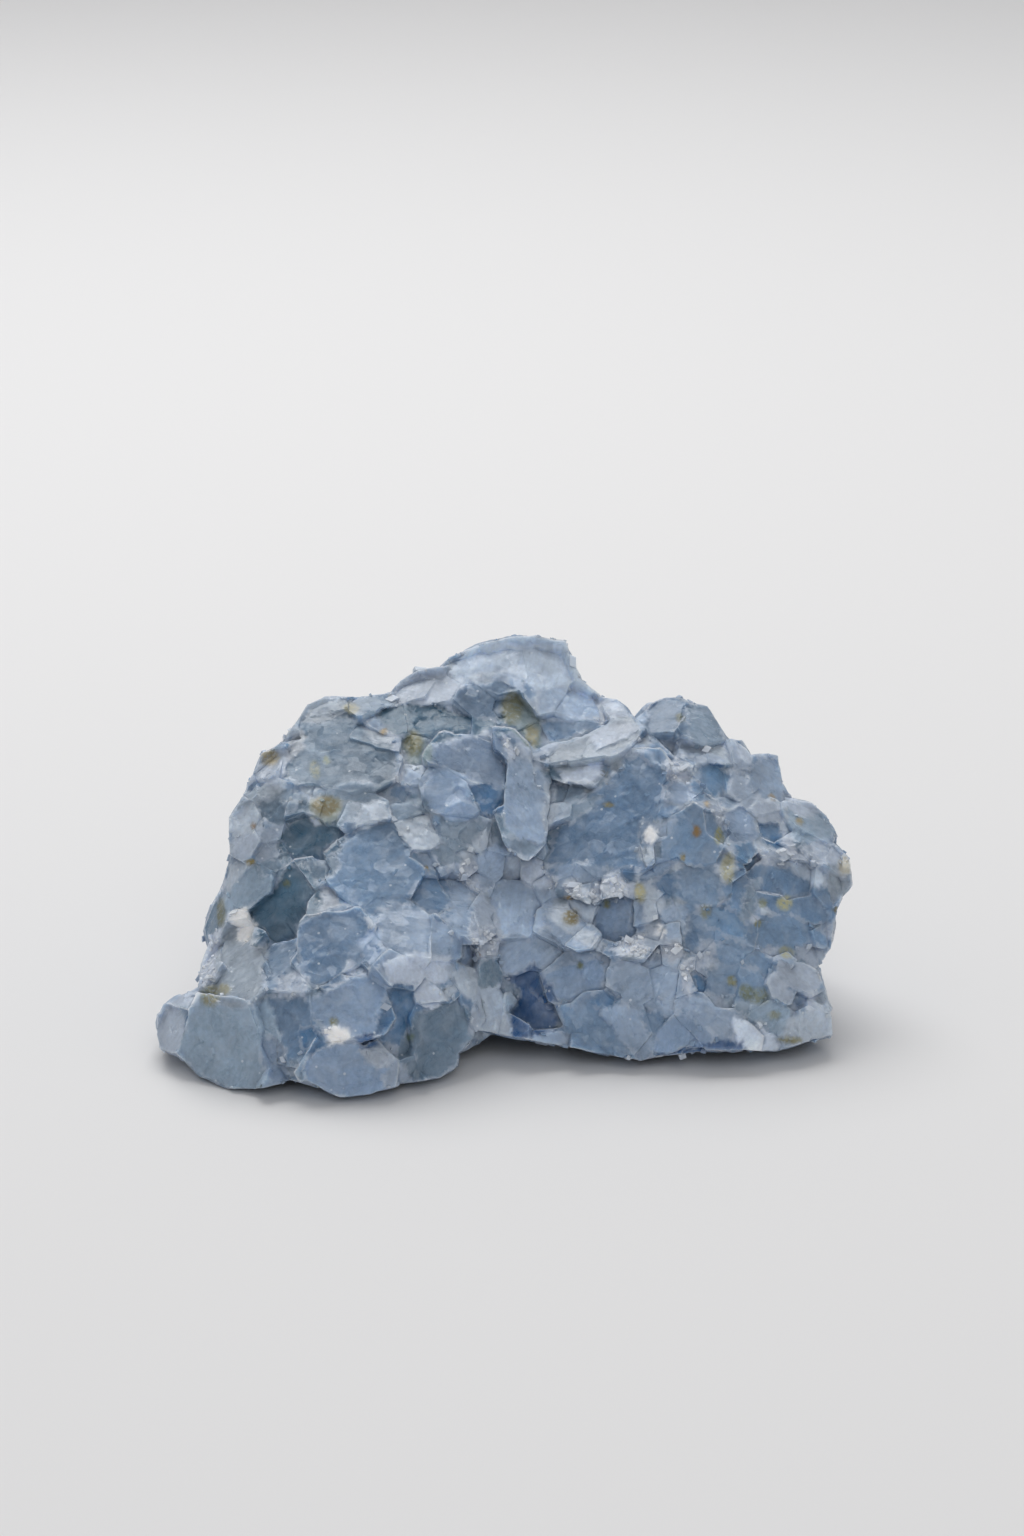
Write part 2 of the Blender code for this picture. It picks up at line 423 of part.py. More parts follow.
class Facets:
    """Every crystal face: a point on it, the way it faces and the radius it claims."""

    def __init__(self):
        self.points = []
        self.normals = []
        self.sizes = []

    def add(self, point, normal, size):
        self.points.append(np.array(point, float))
        self.normals.append(np.array(normal, float))
        self.sizes.append(float(size))


def notch_before(k):
    """True if the outline turns inwards where its length k starts."""
    before, start, end = OUTLINE[k - 1], OUTLINE[k], OUTLINE[(k + 1) % len(OUTLINE)]
    bend = (start[0] - before[0]) * (end[1] - start[1])
    return bend - (start[1] - before[1]) * (end[0] - start[0]) > 0.0


def rim_depths():
    """One depth for each run of the outline that bulges without a notch, so its faces meet."""
    depths = []
    run = []
    for k, start in enumerate(OUTLINE):
        deep = (start[2] + OUTLINE[(k + 1) % len(OUTLINE)][2]) / 2
        if run and (notch_before(k) or abs(deep - np.mean(run)) > RIM_STEP):
            depths += [float(np.mean(run))] * len(run)
            run = []
        run.append(deep)
    return depths + [float(np.mean(run))] * len(run)


def rim_facets(facets):
    """One face seen edge-on for each length of the outline, and leaning ones behind it."""
    depths = rim_depths()
    for k, start in enumerate(OUTLINE):
        end = OUTLINE[(k + 1) % len(OUTLINE)]
        a, b = place(start[0], start[1], depths[k]), place(end[0], end[1], depths[k])
        middle = (a + b) / 2
        look = unit(middle - EYE)
        normal = unit(np.cross(b - a, look))
        facets.add(middle, normal, np.linalg.norm(b - a) / 2)
        if k % 2 == 0:
            facets.add(middle + 2.1 * look - 0.9 * normal, unit(normal + 0.9 * look), 1.5)


def rim_planes():
    """The way out across each length of the outline, square to the line of sight."""
    ways = []
    for k, start in enumerate(OUTLINE):
        end = OUTLINE[(k + 1) % len(OUTLINE)]
        ways.append(unit(np.cross(place(*end) - place(*start), place(*start) - EYE)))
    return np.array(ways)


def guards(seeds, sizes):
    """Outside seeds that mirror the inside ones near the outline, so none grows past it."""
    ways = rim_planes()
    count = len(OUTLINE)
    mirrored, claimed = [], []
    for seed, size, (u, v) in zip(seeds, sizes, seen(seeds)):
        gap, near = rim_gap(u, v)
        if gap > GUARD_REACH:
            continue
        wanted = {near}
        for turn in (1, -1):
            k = near
            for _ in range(GUARD_LENGTHS):
                if notch_before((k + 1) % count if turn == 1 else k):
                    break
                k = (k + turn) % count
                wanted.add(k)
        for k in sorted(wanted):
            out = ways[k] @ (seed - EYE)
            if -8.0 < out < -0.02:
                mirrored.append(seed - 2.0 * out * ways[k])
                claimed.append(size)
    return np.array(mirrored), np.array(claimed)


def fitted(form, spots):
    """The plane that lies best on the form under all spots of a face."""
    points = np.array([form.front(u, v) for u, v, _ in spots])
    sizes = np.array([s[2] ** 2 for s in spots])
    middle = np.average(points, axis=0, weights=sizes)
    normals = np.array([form.normal(p, 1.0 + 0.6 * s[2]) for p, s in zip(points, spots)])
    normal = np.average(normals, axis=0, weights=sizes)
    off = points - middle
    spread = (off.T * sizes) @ off / sizes.sum()
    return points, middle, unit(np.linalg.solve(spread + 1.2 * np.eye(3), normal))


def front_facets(facets, form, rng):
    for lean_up, turn_right, proud, spots in GRAINS:
        points, middle, normal = fitted(form, spots)
        jitter = rng.uniform(-TILT_JITTER_DEG, TILT_JITTER_DEG, 2) / math.sqrt(len(spots))
        step = rng.uniform(-STEP_JITTER, STEP_JITTER)
        normal = leaned(normal, lean_up + jitter[0], turn_right + jitter[1])
        middle = middle + normal * (proud + step)
        for (u, v, size), near in zip(spots, points):
            line = unit(place(u, v, 0.0) - EYE)
            if -(line @ normal) > 0.4:
                point = EYE + line * (((middle - EYE) @ normal) / (line @ normal))
            else:
                point = near - normal * ((near - middle) @ normal)
            facets.add(point, normal, size)


def inside_outline(u, v):
    """True within the outline, by counting the crossings of a line to the right."""
    inside = False
    for k, start in enumerate(OUTLINE):
        end = OUTLINE[(k + 1) % len(OUTLINE)]
        if (start[1] > v) != (end[1] > v):
            at = start[0] + (v - start[1]) / (end[1] - start[1]) * (end[0] - start[0])
            if at > u:
                inside = not inside
    return inside


def rim_gap(u, v):
    """How near the outline passes, in millimetres as seen, and which of its lengths does."""
    best = (1e9, 0)
    for k, start in enumerate(OUTLINE):
        end = OUTLINE[(k + 1) % len(OUTLINE)]
        du, dv = end[0] - start[0], end[1] - start[1]
        t = ((u - start[0]) * du + (v - start[1]) * dv) / (du * du + dv * dv)
        t = min(1.0, max(0.0, t))
        best = min(best, (math.hypot(u - start[0] - t * du, v - start[1] - t * dv), k))
    return best


def fill_facets(facets, form, rng):
    """Small crystals where the front would be bare."""
    spots = [tuple(s) for grain in GRAINS for s in grain[3]]
    for v in np.arange(-19.0, 26.0, 0.8):
        for u in np.arange(-34.0, 35.0, 0.8):
            a = u + rng.uniform(-0.3, 0.3)
            b = v + rng.uniform(-0.3, 0.3)
            gap = min(math.hypot(a - s[0], b - s[1]) - s[2] for s in spots)
            if gap < FILL_GAP or not inside_outline(a, b) or rim_gap(a, b)[0] < FILL_RADIUS:
                continue
            spots.append((a, b, FILL_RADIUS))
            point = form.front(a, b)
            normal = leaned(form.normal(point), rng.uniform(-6, 16), rng.uniform(-12, 12))
            facets.add(point + normal * rng.uniform(-0.3, 0.3), normal, FILL_RADIUS)


def spread_ways(count):
    """Directions spread evenly all round."""
    k = np.arange(count) + 0.5
    z = 1.0 - 2.0 * k / count
    turn = k * math.pi * (3.0 - math.sqrt(5.0))
    flat = np.sqrt(1.0 - z * z)
    return np.column_stack([flat * np.cos(turn), flat * np.sin(turn), z])


def pokes_out(point, normal, size):
    """True if a face this wide would show past the outline."""
    first = unit(np.cross(normal, [0.31, 0.52, 0.79]))
    second = np.cross(normal, first)
    turns = np.arange(0, 2 * math.pi, math.pi / 4)
    ring = [point + 1.35 * size * (math.cos(t) * first + math.sin(t) * second) for t in turns]
    return any(not inside_outline(u, v) for u, v in seen(np.array(ring)))


def settled(point, normal, size):
    """Leans and shrinks a face on the back until the outline hides it."""
    look = unit(point - EYE)
    for _ in range(7):
        if not pokes_out(point, normal, size):
            return point, normal, size
        normal = unit(normal + 0.22 * look)
        point = point - 0.12 * normal
        size = size * 0.93
    return None


def back_sheet(sheets, point, normal):
    """The broad sheet that a face near it may share."""
    near = min(sheets, key=lambda s: np.linalg.norm(s[0] - point), default=None)
    if near is None or normal[2] < -0.7 or np.linalg.norm(near[0] - point) > 7.5:
        return None
    drop = (point - near[0]) @ near[1]
    return (point - near[1] * drop, near[1]) if abs(drop) < 1.3 else None


def back_facets(facets, form, rng):
    """Crystals of mixed size over the back and the underside, some sharing a broad sheet."""
    ways = spread_ways(BACK_TRIES)
    rng.shuffle(ways)
    places = np.array(HEART) + ways * form.reach(ways)[:, None]
    sheets = []
    taken = list(zip(facets.points, facets.sizes))
    for point in places:
        normal = form.normal(point, 2.5)
        u, v = seen(point)[0]
        if normal @ unit(point - EYE) < 0.02 or not inside_outline(u, v):
            continue
        size = rng.uniform(*BACK_RADIUS) * (0.8 + 0.4 * math.sin(point[0] * 0.21 + point[2] * 0.3))
        if any(np.linalg.norm(point - p) < 0.95 * (size + s) for p, s in taken):
            continue
        tilt = BACK_TILT_DEG * (0.35 if normal[2] < -0.7 else 1.0)
        if len(sheets) < BACK_SHEETS and size > 2.2 and normal[2] > -0.7:
            sheets.append((point, leaned(normal, *rng.uniform(-tilt, tilt, 2))))
        own = leaned(normal, *rng.uniform(-tilt, tilt, 2))
        spot = point + own * rng.uniform(-0.4, 0.3)
        shared = back_sheet(sheets, point, normal)
        if shared:
            spot, own = shared
        face = settled(spot, own, size)
        if face:
            taken.append((face[0], face[2]))
            facets.add(*face)


def clip(faces, normal, far, tag):
    """Cuts a convex body, held as tagged rings of corners, by a plane and closes it."""
    kept = []
    cap = []
    for name, ring in faces:
        side = ring @ normal - far
        side[np.abs(side) < ON_PLANE] = 0.0
        if (side <= 0.0).all():
            kept.append((name, ring))
            continue
        if (side > 0.0).all():
            continue
        corners = []
        for k in range(len(ring)):
            here, there = side[k], side[(k + 1) % len(ring)]
            if here <= 0.0:
                corners.append(ring[k])
            if (here <= 0.0) != (there <= 0.0):
                t = here / (here - there)
                cross = ring[k] + (ring[(k + 1) % len(ring)] - ring[k]) * t
                cap.append(cross)
                if 0.0 < t < 1.0:
                    corners.append(cross)
        if len(corners) > 2:
            kept.append((name, np.array(corners)))
    if len(cap) > 2:
        cap = np.array(cap)
        middle = cap.mean(axis=0)
        first = unit(np.cross(normal, [0.31, 0.52, 0.79]))
        second = np.cross(normal, first)
        turn = np.arctan2((cap - middle) @ second, (cap - middle) @ first)
        kept.append((tag, cap[np.argsort(turn)]))
    return kept


def block():
    """The space a cell starts from. Its underside is the level the stone stands on."""
    low, high = np.array([-60.0, -60.0, 0.0]), np.array([60.0, 60.0, 60.0])
    corner = [np.where([i & 1, i & 2, i & 4], high, low) for i in range(8)]
    rings = [(0, 2, 3, 1), (4, 5, 7, 6), (0, 1, 5, 4), (2, 6, 7, 3), (0, 4, 6, 2), (1, 3, 7, 5)]
    return [(-1 - k, np.array([corner[i] for i in ring])) for k, ring in enumerate(rings)]


def stone_faces(facets):
    """The flat faces between the cells of the inside seeds and those of the outside seeds."""
    points, normals = np.array(facets.points), np.array(facets.normals)
    sizes = np.array(facets.sizes)
    apart = np.clip(0.22 * sizes, 0.16, 0.55)[:, None] * normals
    mirrored, claimed = guards(points - apart, sizes)
    seeds = np.vstack([points - apart, points + apart, mirrored])
    power = np.concatenate([sizes, sizes, claimed]) ** 2
    weight = (seeds ** 2).sum(axis=1) - power
    count = len(points)
    rings = []
    for i in range(count):
        normal = 2.0 * (seeds - seeds[i])
        far = weight - weight[i]
        near = np.argsort(((seeds - seeds[i]) ** 2).sum(axis=1) - power)
        faces = block()
        corners = np.vstack([ring for _, ring in faces])
        for start in range(0, len(near), 48):
            batch = near[start:start + 48]
            for j in batch[(corners @ normal[batch].T > far[batch]).any(axis=0)]:
                if j == i or not (corners @ normal[j] > far[j]).any():
                    continue
                size = np.linalg.norm(normal[j])
                faces = clip(faces, normal[j] / size, far[j] / size, int(j))
                if not faces:
                    break
                corners = np.vstack([ring for _, ring in faces])
            if not faces:
                break
        rings += [ring for tag, ring in faces if tag >= count or tag == -1]
    return rings


def keep_largest(mesh):
    """Leaves only the biggest connected piece."""
    left = set(mesh.verts)
    pieces = []
    while left:
        start = left.pop()
        piece, edge = {start}, [start]
        while edge:
            vert = edge.pop()
            for link in vert.link_edges:
                other = link.other_vert(vert)
                if other in left:
                    left.discard(other)
                    piece.add(other)
                    edge.append(other)
        pieces.append(piece)
    pieces.sort(key=len)
    for piece in pieces[:-1]:
        bmesh.ops.delete(mesh, geom=list(piece), context="VERTS")
    return len(pieces) - 1


def counts(mesh):
    """How many edges have one face, and how many have three or more."""
    open_edges = sum(1 for edge in mesh.edges if len(edge.link_faces) < 2)
    return open_edges, sum(1 for edge in mesh.edges if len(edge.link_faces) > 2)


def build():
    rng = np.random.default_rng(SEED)
    points = [place(*p) for p in OUTLINE + FRONT]
    points += [np.array(p) for p in BACK + UNDER]
    for start, way in list(zip(OUTLINE, rim_planes()))[::2]:
        middle = place(*start)
        points.append(middle + 3.2 * unit(middle - EYE) - 1.5 * way)
    form = Form(points)
    facets = Facets()
    rim_facets(facets)
    front_facets(facets, form, rng)
    fill_facets(facets, form, rng)
    back_facets(facets, form, np.random.default_rng(BACK_SEED))
    rings = stone_faces(facets)

    mesh = bmesh.new()
    for ring in rings:
        mesh.faces.new([mesh.verts.new(corner) for corner in ring])
    bmesh.ops.remove_doubles(mesh, verts=mesh.verts[:], dist=WELD)
    loose = keep_largest(mesh)
    bmesh.ops.dissolve_limit(
        mesh, angle_limit=math.radians(0.05), verts=mesh.verts[:], edges=mesh.edges[:]
    )
    bmesh.ops.recalc_face_normals(mesh, faces=mesh.faces[:])
    tunnels = 1 - (len(mesh.verts) - len(mesh.edges) + len(mesh.faces)) // 2
    print("faces", len(facets.points), "edges", counts(mesh), "dropped", loose, "tunnels", tunnels)
    bmesh.ops.translate(mesh, vec=CENTRE, verts=mesh.verts[:])
    bmesh.ops.scale(mesh, vec=(0.001, 0.001, 0.001), verts=mesh.verts[:])
    return mesh


def material():
    stone = bpy.data.materials.new("blue_calcite")
    stone.use_nodes = True
    shader = stone.node_tree.nodes["Principled BSDF"]
    shader.inputs["Base Color"].default_value = (0.23, 0.31, 0.42, 1.0)
    shader.inputs["Roughness"].default_value = 0.38
    shader.inputs["Subsurface Weight"].default_value = 0.25
    return stone


for old in list(bpy.data.objects):
    bpy.data.objects.remove(old, do_unlink=True)

body = build()
data = bpy.data.meshes.new("calcite_stone")
body.to_mesh(data)
body.free()
data.materials.append(material())
stone = bpy.data.objects.new("calcite_stone", data)
bpy.context.scene.collection.objects.link(stone)
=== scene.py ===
import math

import bmesh
import bpy
import numpy as np
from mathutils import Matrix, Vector, noise
from mathutils.bvhtree import BVHTree


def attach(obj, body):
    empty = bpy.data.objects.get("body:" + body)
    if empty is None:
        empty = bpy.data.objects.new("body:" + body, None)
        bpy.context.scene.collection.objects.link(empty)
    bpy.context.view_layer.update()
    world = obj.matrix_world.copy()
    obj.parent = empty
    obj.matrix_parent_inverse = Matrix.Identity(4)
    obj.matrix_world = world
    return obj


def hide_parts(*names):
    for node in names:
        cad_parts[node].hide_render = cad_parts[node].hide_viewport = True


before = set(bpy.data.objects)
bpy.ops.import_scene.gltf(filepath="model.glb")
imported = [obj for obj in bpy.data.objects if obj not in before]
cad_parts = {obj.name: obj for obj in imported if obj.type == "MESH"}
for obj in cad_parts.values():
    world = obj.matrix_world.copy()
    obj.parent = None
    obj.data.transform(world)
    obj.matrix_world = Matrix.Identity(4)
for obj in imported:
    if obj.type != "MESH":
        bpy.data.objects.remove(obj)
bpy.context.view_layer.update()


# The lump. One piece of milky blue calcite, many blocky crystals grown together, broken off a
# vein by hand. Here the plain faceted solid is copied and cut into small enough triangles to
# carry the outlines of single crystals and their fine steps.

MM = 0.001

# The eye in front of the stone, how far its view leans down, and what lies at the middle of the
# plane that the outlines are drawn on: its distance, and its place across and up, in millimetres.
EYE = np.array([0.5, -406.13, 158.11]) * MM
VIEW_DOWN_DEG = 18.0
VIEW_DISTANCE = 426.7
VIEW_AXIS = (1.2, 13.2)

# The longest edges of the fine mesh, on the faces turned to the eye and on the others.
FRONT_EDGE = 0.46 * MM
BACK_EDGE = 1.10 * MM
TURNED_TO_EYE = 0.08
REFINE_ROUNDS = 6
EVEN_ROUNDS = 3
FLAT_DEG = 1.5


def view_axes():
    down = math.radians(VIEW_DOWN_DEG)
    right = np.array([1.0, 0.0, 0.0])
    above = np.array([0.0, math.sin(down), math.cos(down)])
    away = np.array([0.0, math.cos(down), -math.sin(down)])
    return right, above, away


def seen_at(points):
    """Millimetres across, up and away from the eye, on the plane through the stone's middle."""
    right, above, away = view_axes()
    off = (np.atleast_2d(points) - EYE) / MM
    deep = off @ away
    across = VIEW_AXIS[0] + (off @ right) * VIEW_DISTANCE / deep
    height = VIEW_AXIS[1] + (off @ above) * VIEW_DISTANCE / deep
    return across, height, deep


def merged_copy(node):
    shape = bmesh.new()
    shape.from_mesh(node.data)
    bmesh.ops.remove_doubles(shape, verts=shape.verts, dist=1e-6)
    shape.faces.ensure_lookup_table()
    return shape


def number_facets(shape):
    """Triangles that meet without a bend are one face, and get one number."""
    layer = shape.faces.layers.int.new("facet")
    flat = math.cos(math.radians(FLAT_DEG))
    for face in shape.faces:
        face[layer] = -1
    count = 0
    for first in shape.faces:
        if first[layer] >= 0:
            continue
        first[layer] = count
        pile = [first]
        while pile:
            face = pile.pop()
            for edge in face.edges:
                for other in edge.link_faces:
                    if other[layer] < 0 and other.normal.dot(face.normal) > flat:
                        other[layer] = count
                        pile.append(other)
        count += 1
    return layer, count


def facet_facts(shape, layer, count):
    """The middle and the outward normal of every face."""
    area = np.zeros(count)
    middle = np.zeros((count, 3))
    normal = np.zeros((count, 3))
    for face in shape.faces:
        k, a = face[layer], face.calc_area()
        area[k] += a
        middle[k] += np.array(face.calc_center_median()) * a
        normal[k] += np.array(face.normal) * a
    middle /= area[:, None]
    normal /= np.linalg.norm(normal, axis=1, keepdims=True)
    return middle, normal


def refine(shape, layer, fronts):
    """Splits long edges until the mesh is fine enough to carry the small relief."""
    for _ in range(REFINE_ROUNDS):
        long = []
        for edge in shape.edges:
            near = any(fronts[face[layer]] for face in edge.link_faces)
            if edge.calc_length() > (FRONT_EDGE if near else BACK_EDGE):
                long.append(edge)
        bmesh.ops.subdivide_edges(shape, edges=long, cuts=1)
        wide = [face for face in shape.faces if len(face.verts) > 3]
        bmesh.ops.triangulate(shape, faces=wide)


def even_out(shape, layer):
    """Slides the points inside each flat face so that its triangles are alike."""
    inner = [
        vert for vert in shape.verts
        if len({face[layer] for face in vert.link_faces}) == 1
    ]
    for _ in range(EVEN_ROUNDS):
        bmesh.ops.smooth_vert(shape, verts=inner, factor=0.5, use_axis_x=True,
                              use_axis_y=True, use_axis_z=True)


def read(items, field, width, kind=float):
    """One value of every point, edge or face, with one row for each."""
    values = np.zeros(len(items) * width, kind)
    items.foreach_get(field, values)
    return values.reshape(-1, width) if width > 1 else values


shape = merged_copy(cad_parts["calcite_stone"])
facet_layer, facet_count = number_facets(shape)
facet_middle, facet_normal = facet_facts(shape, facet_layer, facet_count)
toward = EYE - facet_middle
toward /= np.linalg.norm(toward, axis=1, keepdims=True)
solid_tree = BVHTree.FromBMesh(shape)
refine(shape, facet_layer, (facet_normal * toward).sum(axis=1) > TURNED_TO_EYE)
even_out(shape, facet_layer)
mesh = bpy.data.meshes.new("calcite_body")
shape.to_mesh(mesh)
shape.free()

points = read(mesh.vertices, "co", 3)
normals = read(mesh.vertices, "normal", 3)
ends = read(mesh.edges, "vertices", 2, int)
corners = read(mesh.polygons, "vertices", 3, int)
face_facet = read(mesh.attributes["facet"].data, "value", 1, int)
point_facet = np.zeros(len(points), int)
point_facet[corners.ravel()] = np.repeat(face_facet, 3)


# The crystals. Each grew against its neighbours and split along its own flat cleavage, so every
# one shows one nearly flat face with its own lean and its own shade of blue.

# The shades, from deep glassy crystals to milky ones and crushed white; the pure white one is a painted
# highlight, the glint of light off a cleavage face painted into its colour. Each is a colour, how far
# it lies proud of its neighbours in millimetres, and how crushed and frosted it is.
SHADES = {
    "navy": ("#365e8d", -0.45, 0.0),
    "deep": ("#557ba0", -0.20, 0.0),
    "dark_teal": ("#4e6e85", -0.30, 0.0),
    "slate_teal": ("#698bac", -0.15, 0.0),
    "teal": ("#6d8499", -0.10, 0.05),
    "steel": ("#6986a5", 0.0, 0.05),
    "foot": ("#8396a9", 0.0, 0.05),
    "blue": ("#7792af", 0.0, 0.02),
    "slate": ("#6c839c", 0.0, 0.05),
    "soft": ("#8094ad", 0.05, 0.04),
    "sea": ("#92a6b9", 0.0, 0.05),
    "sky": ("#a9bcd3", 0.0, 0.05),
    "periwinkle": ("#8ea5c1", 0.10, 0.02),
    "lavender": ("#97a6b9", 0.0, 0.15),
    "milky": ("#95a9c1", 0.10, 0.10),
    "grey": ("#95a2af", 0.0, 0.20),
    "pale": ("#a8b4c4", 0.12, 0.15),
    "ash": ("#a4b2c5", 0.08, 0.45),
    "bright": ("#b8c5d3", 0.18, 0.35),
    "bright_milk": ("#c1cfdf", 0.10, 0.05),
    "snow": ("#cedaeb", 0.20, 0.20),
    "frosty": ("#bac5d6", 0.15, 0.65),
    "crushed": ("#d7e2f3", 0.15, 1.0),
    # Painted highlight: a glint of reflected light, painted as pure white.
    "white": ("#ffffff", 0.20, 0.0),
    "rosy": ("#a6b1bf", 0.05, 0.35),
    "moss": ("#738a9d", 0.0, 0.20),
    "olive": ("#7f9195", 0.0, 0.20),
    "tan": ("#9aa59d", 0.0, 0.40),
    "cream": ("#a1a9b2", 0.05, 0.40),
}

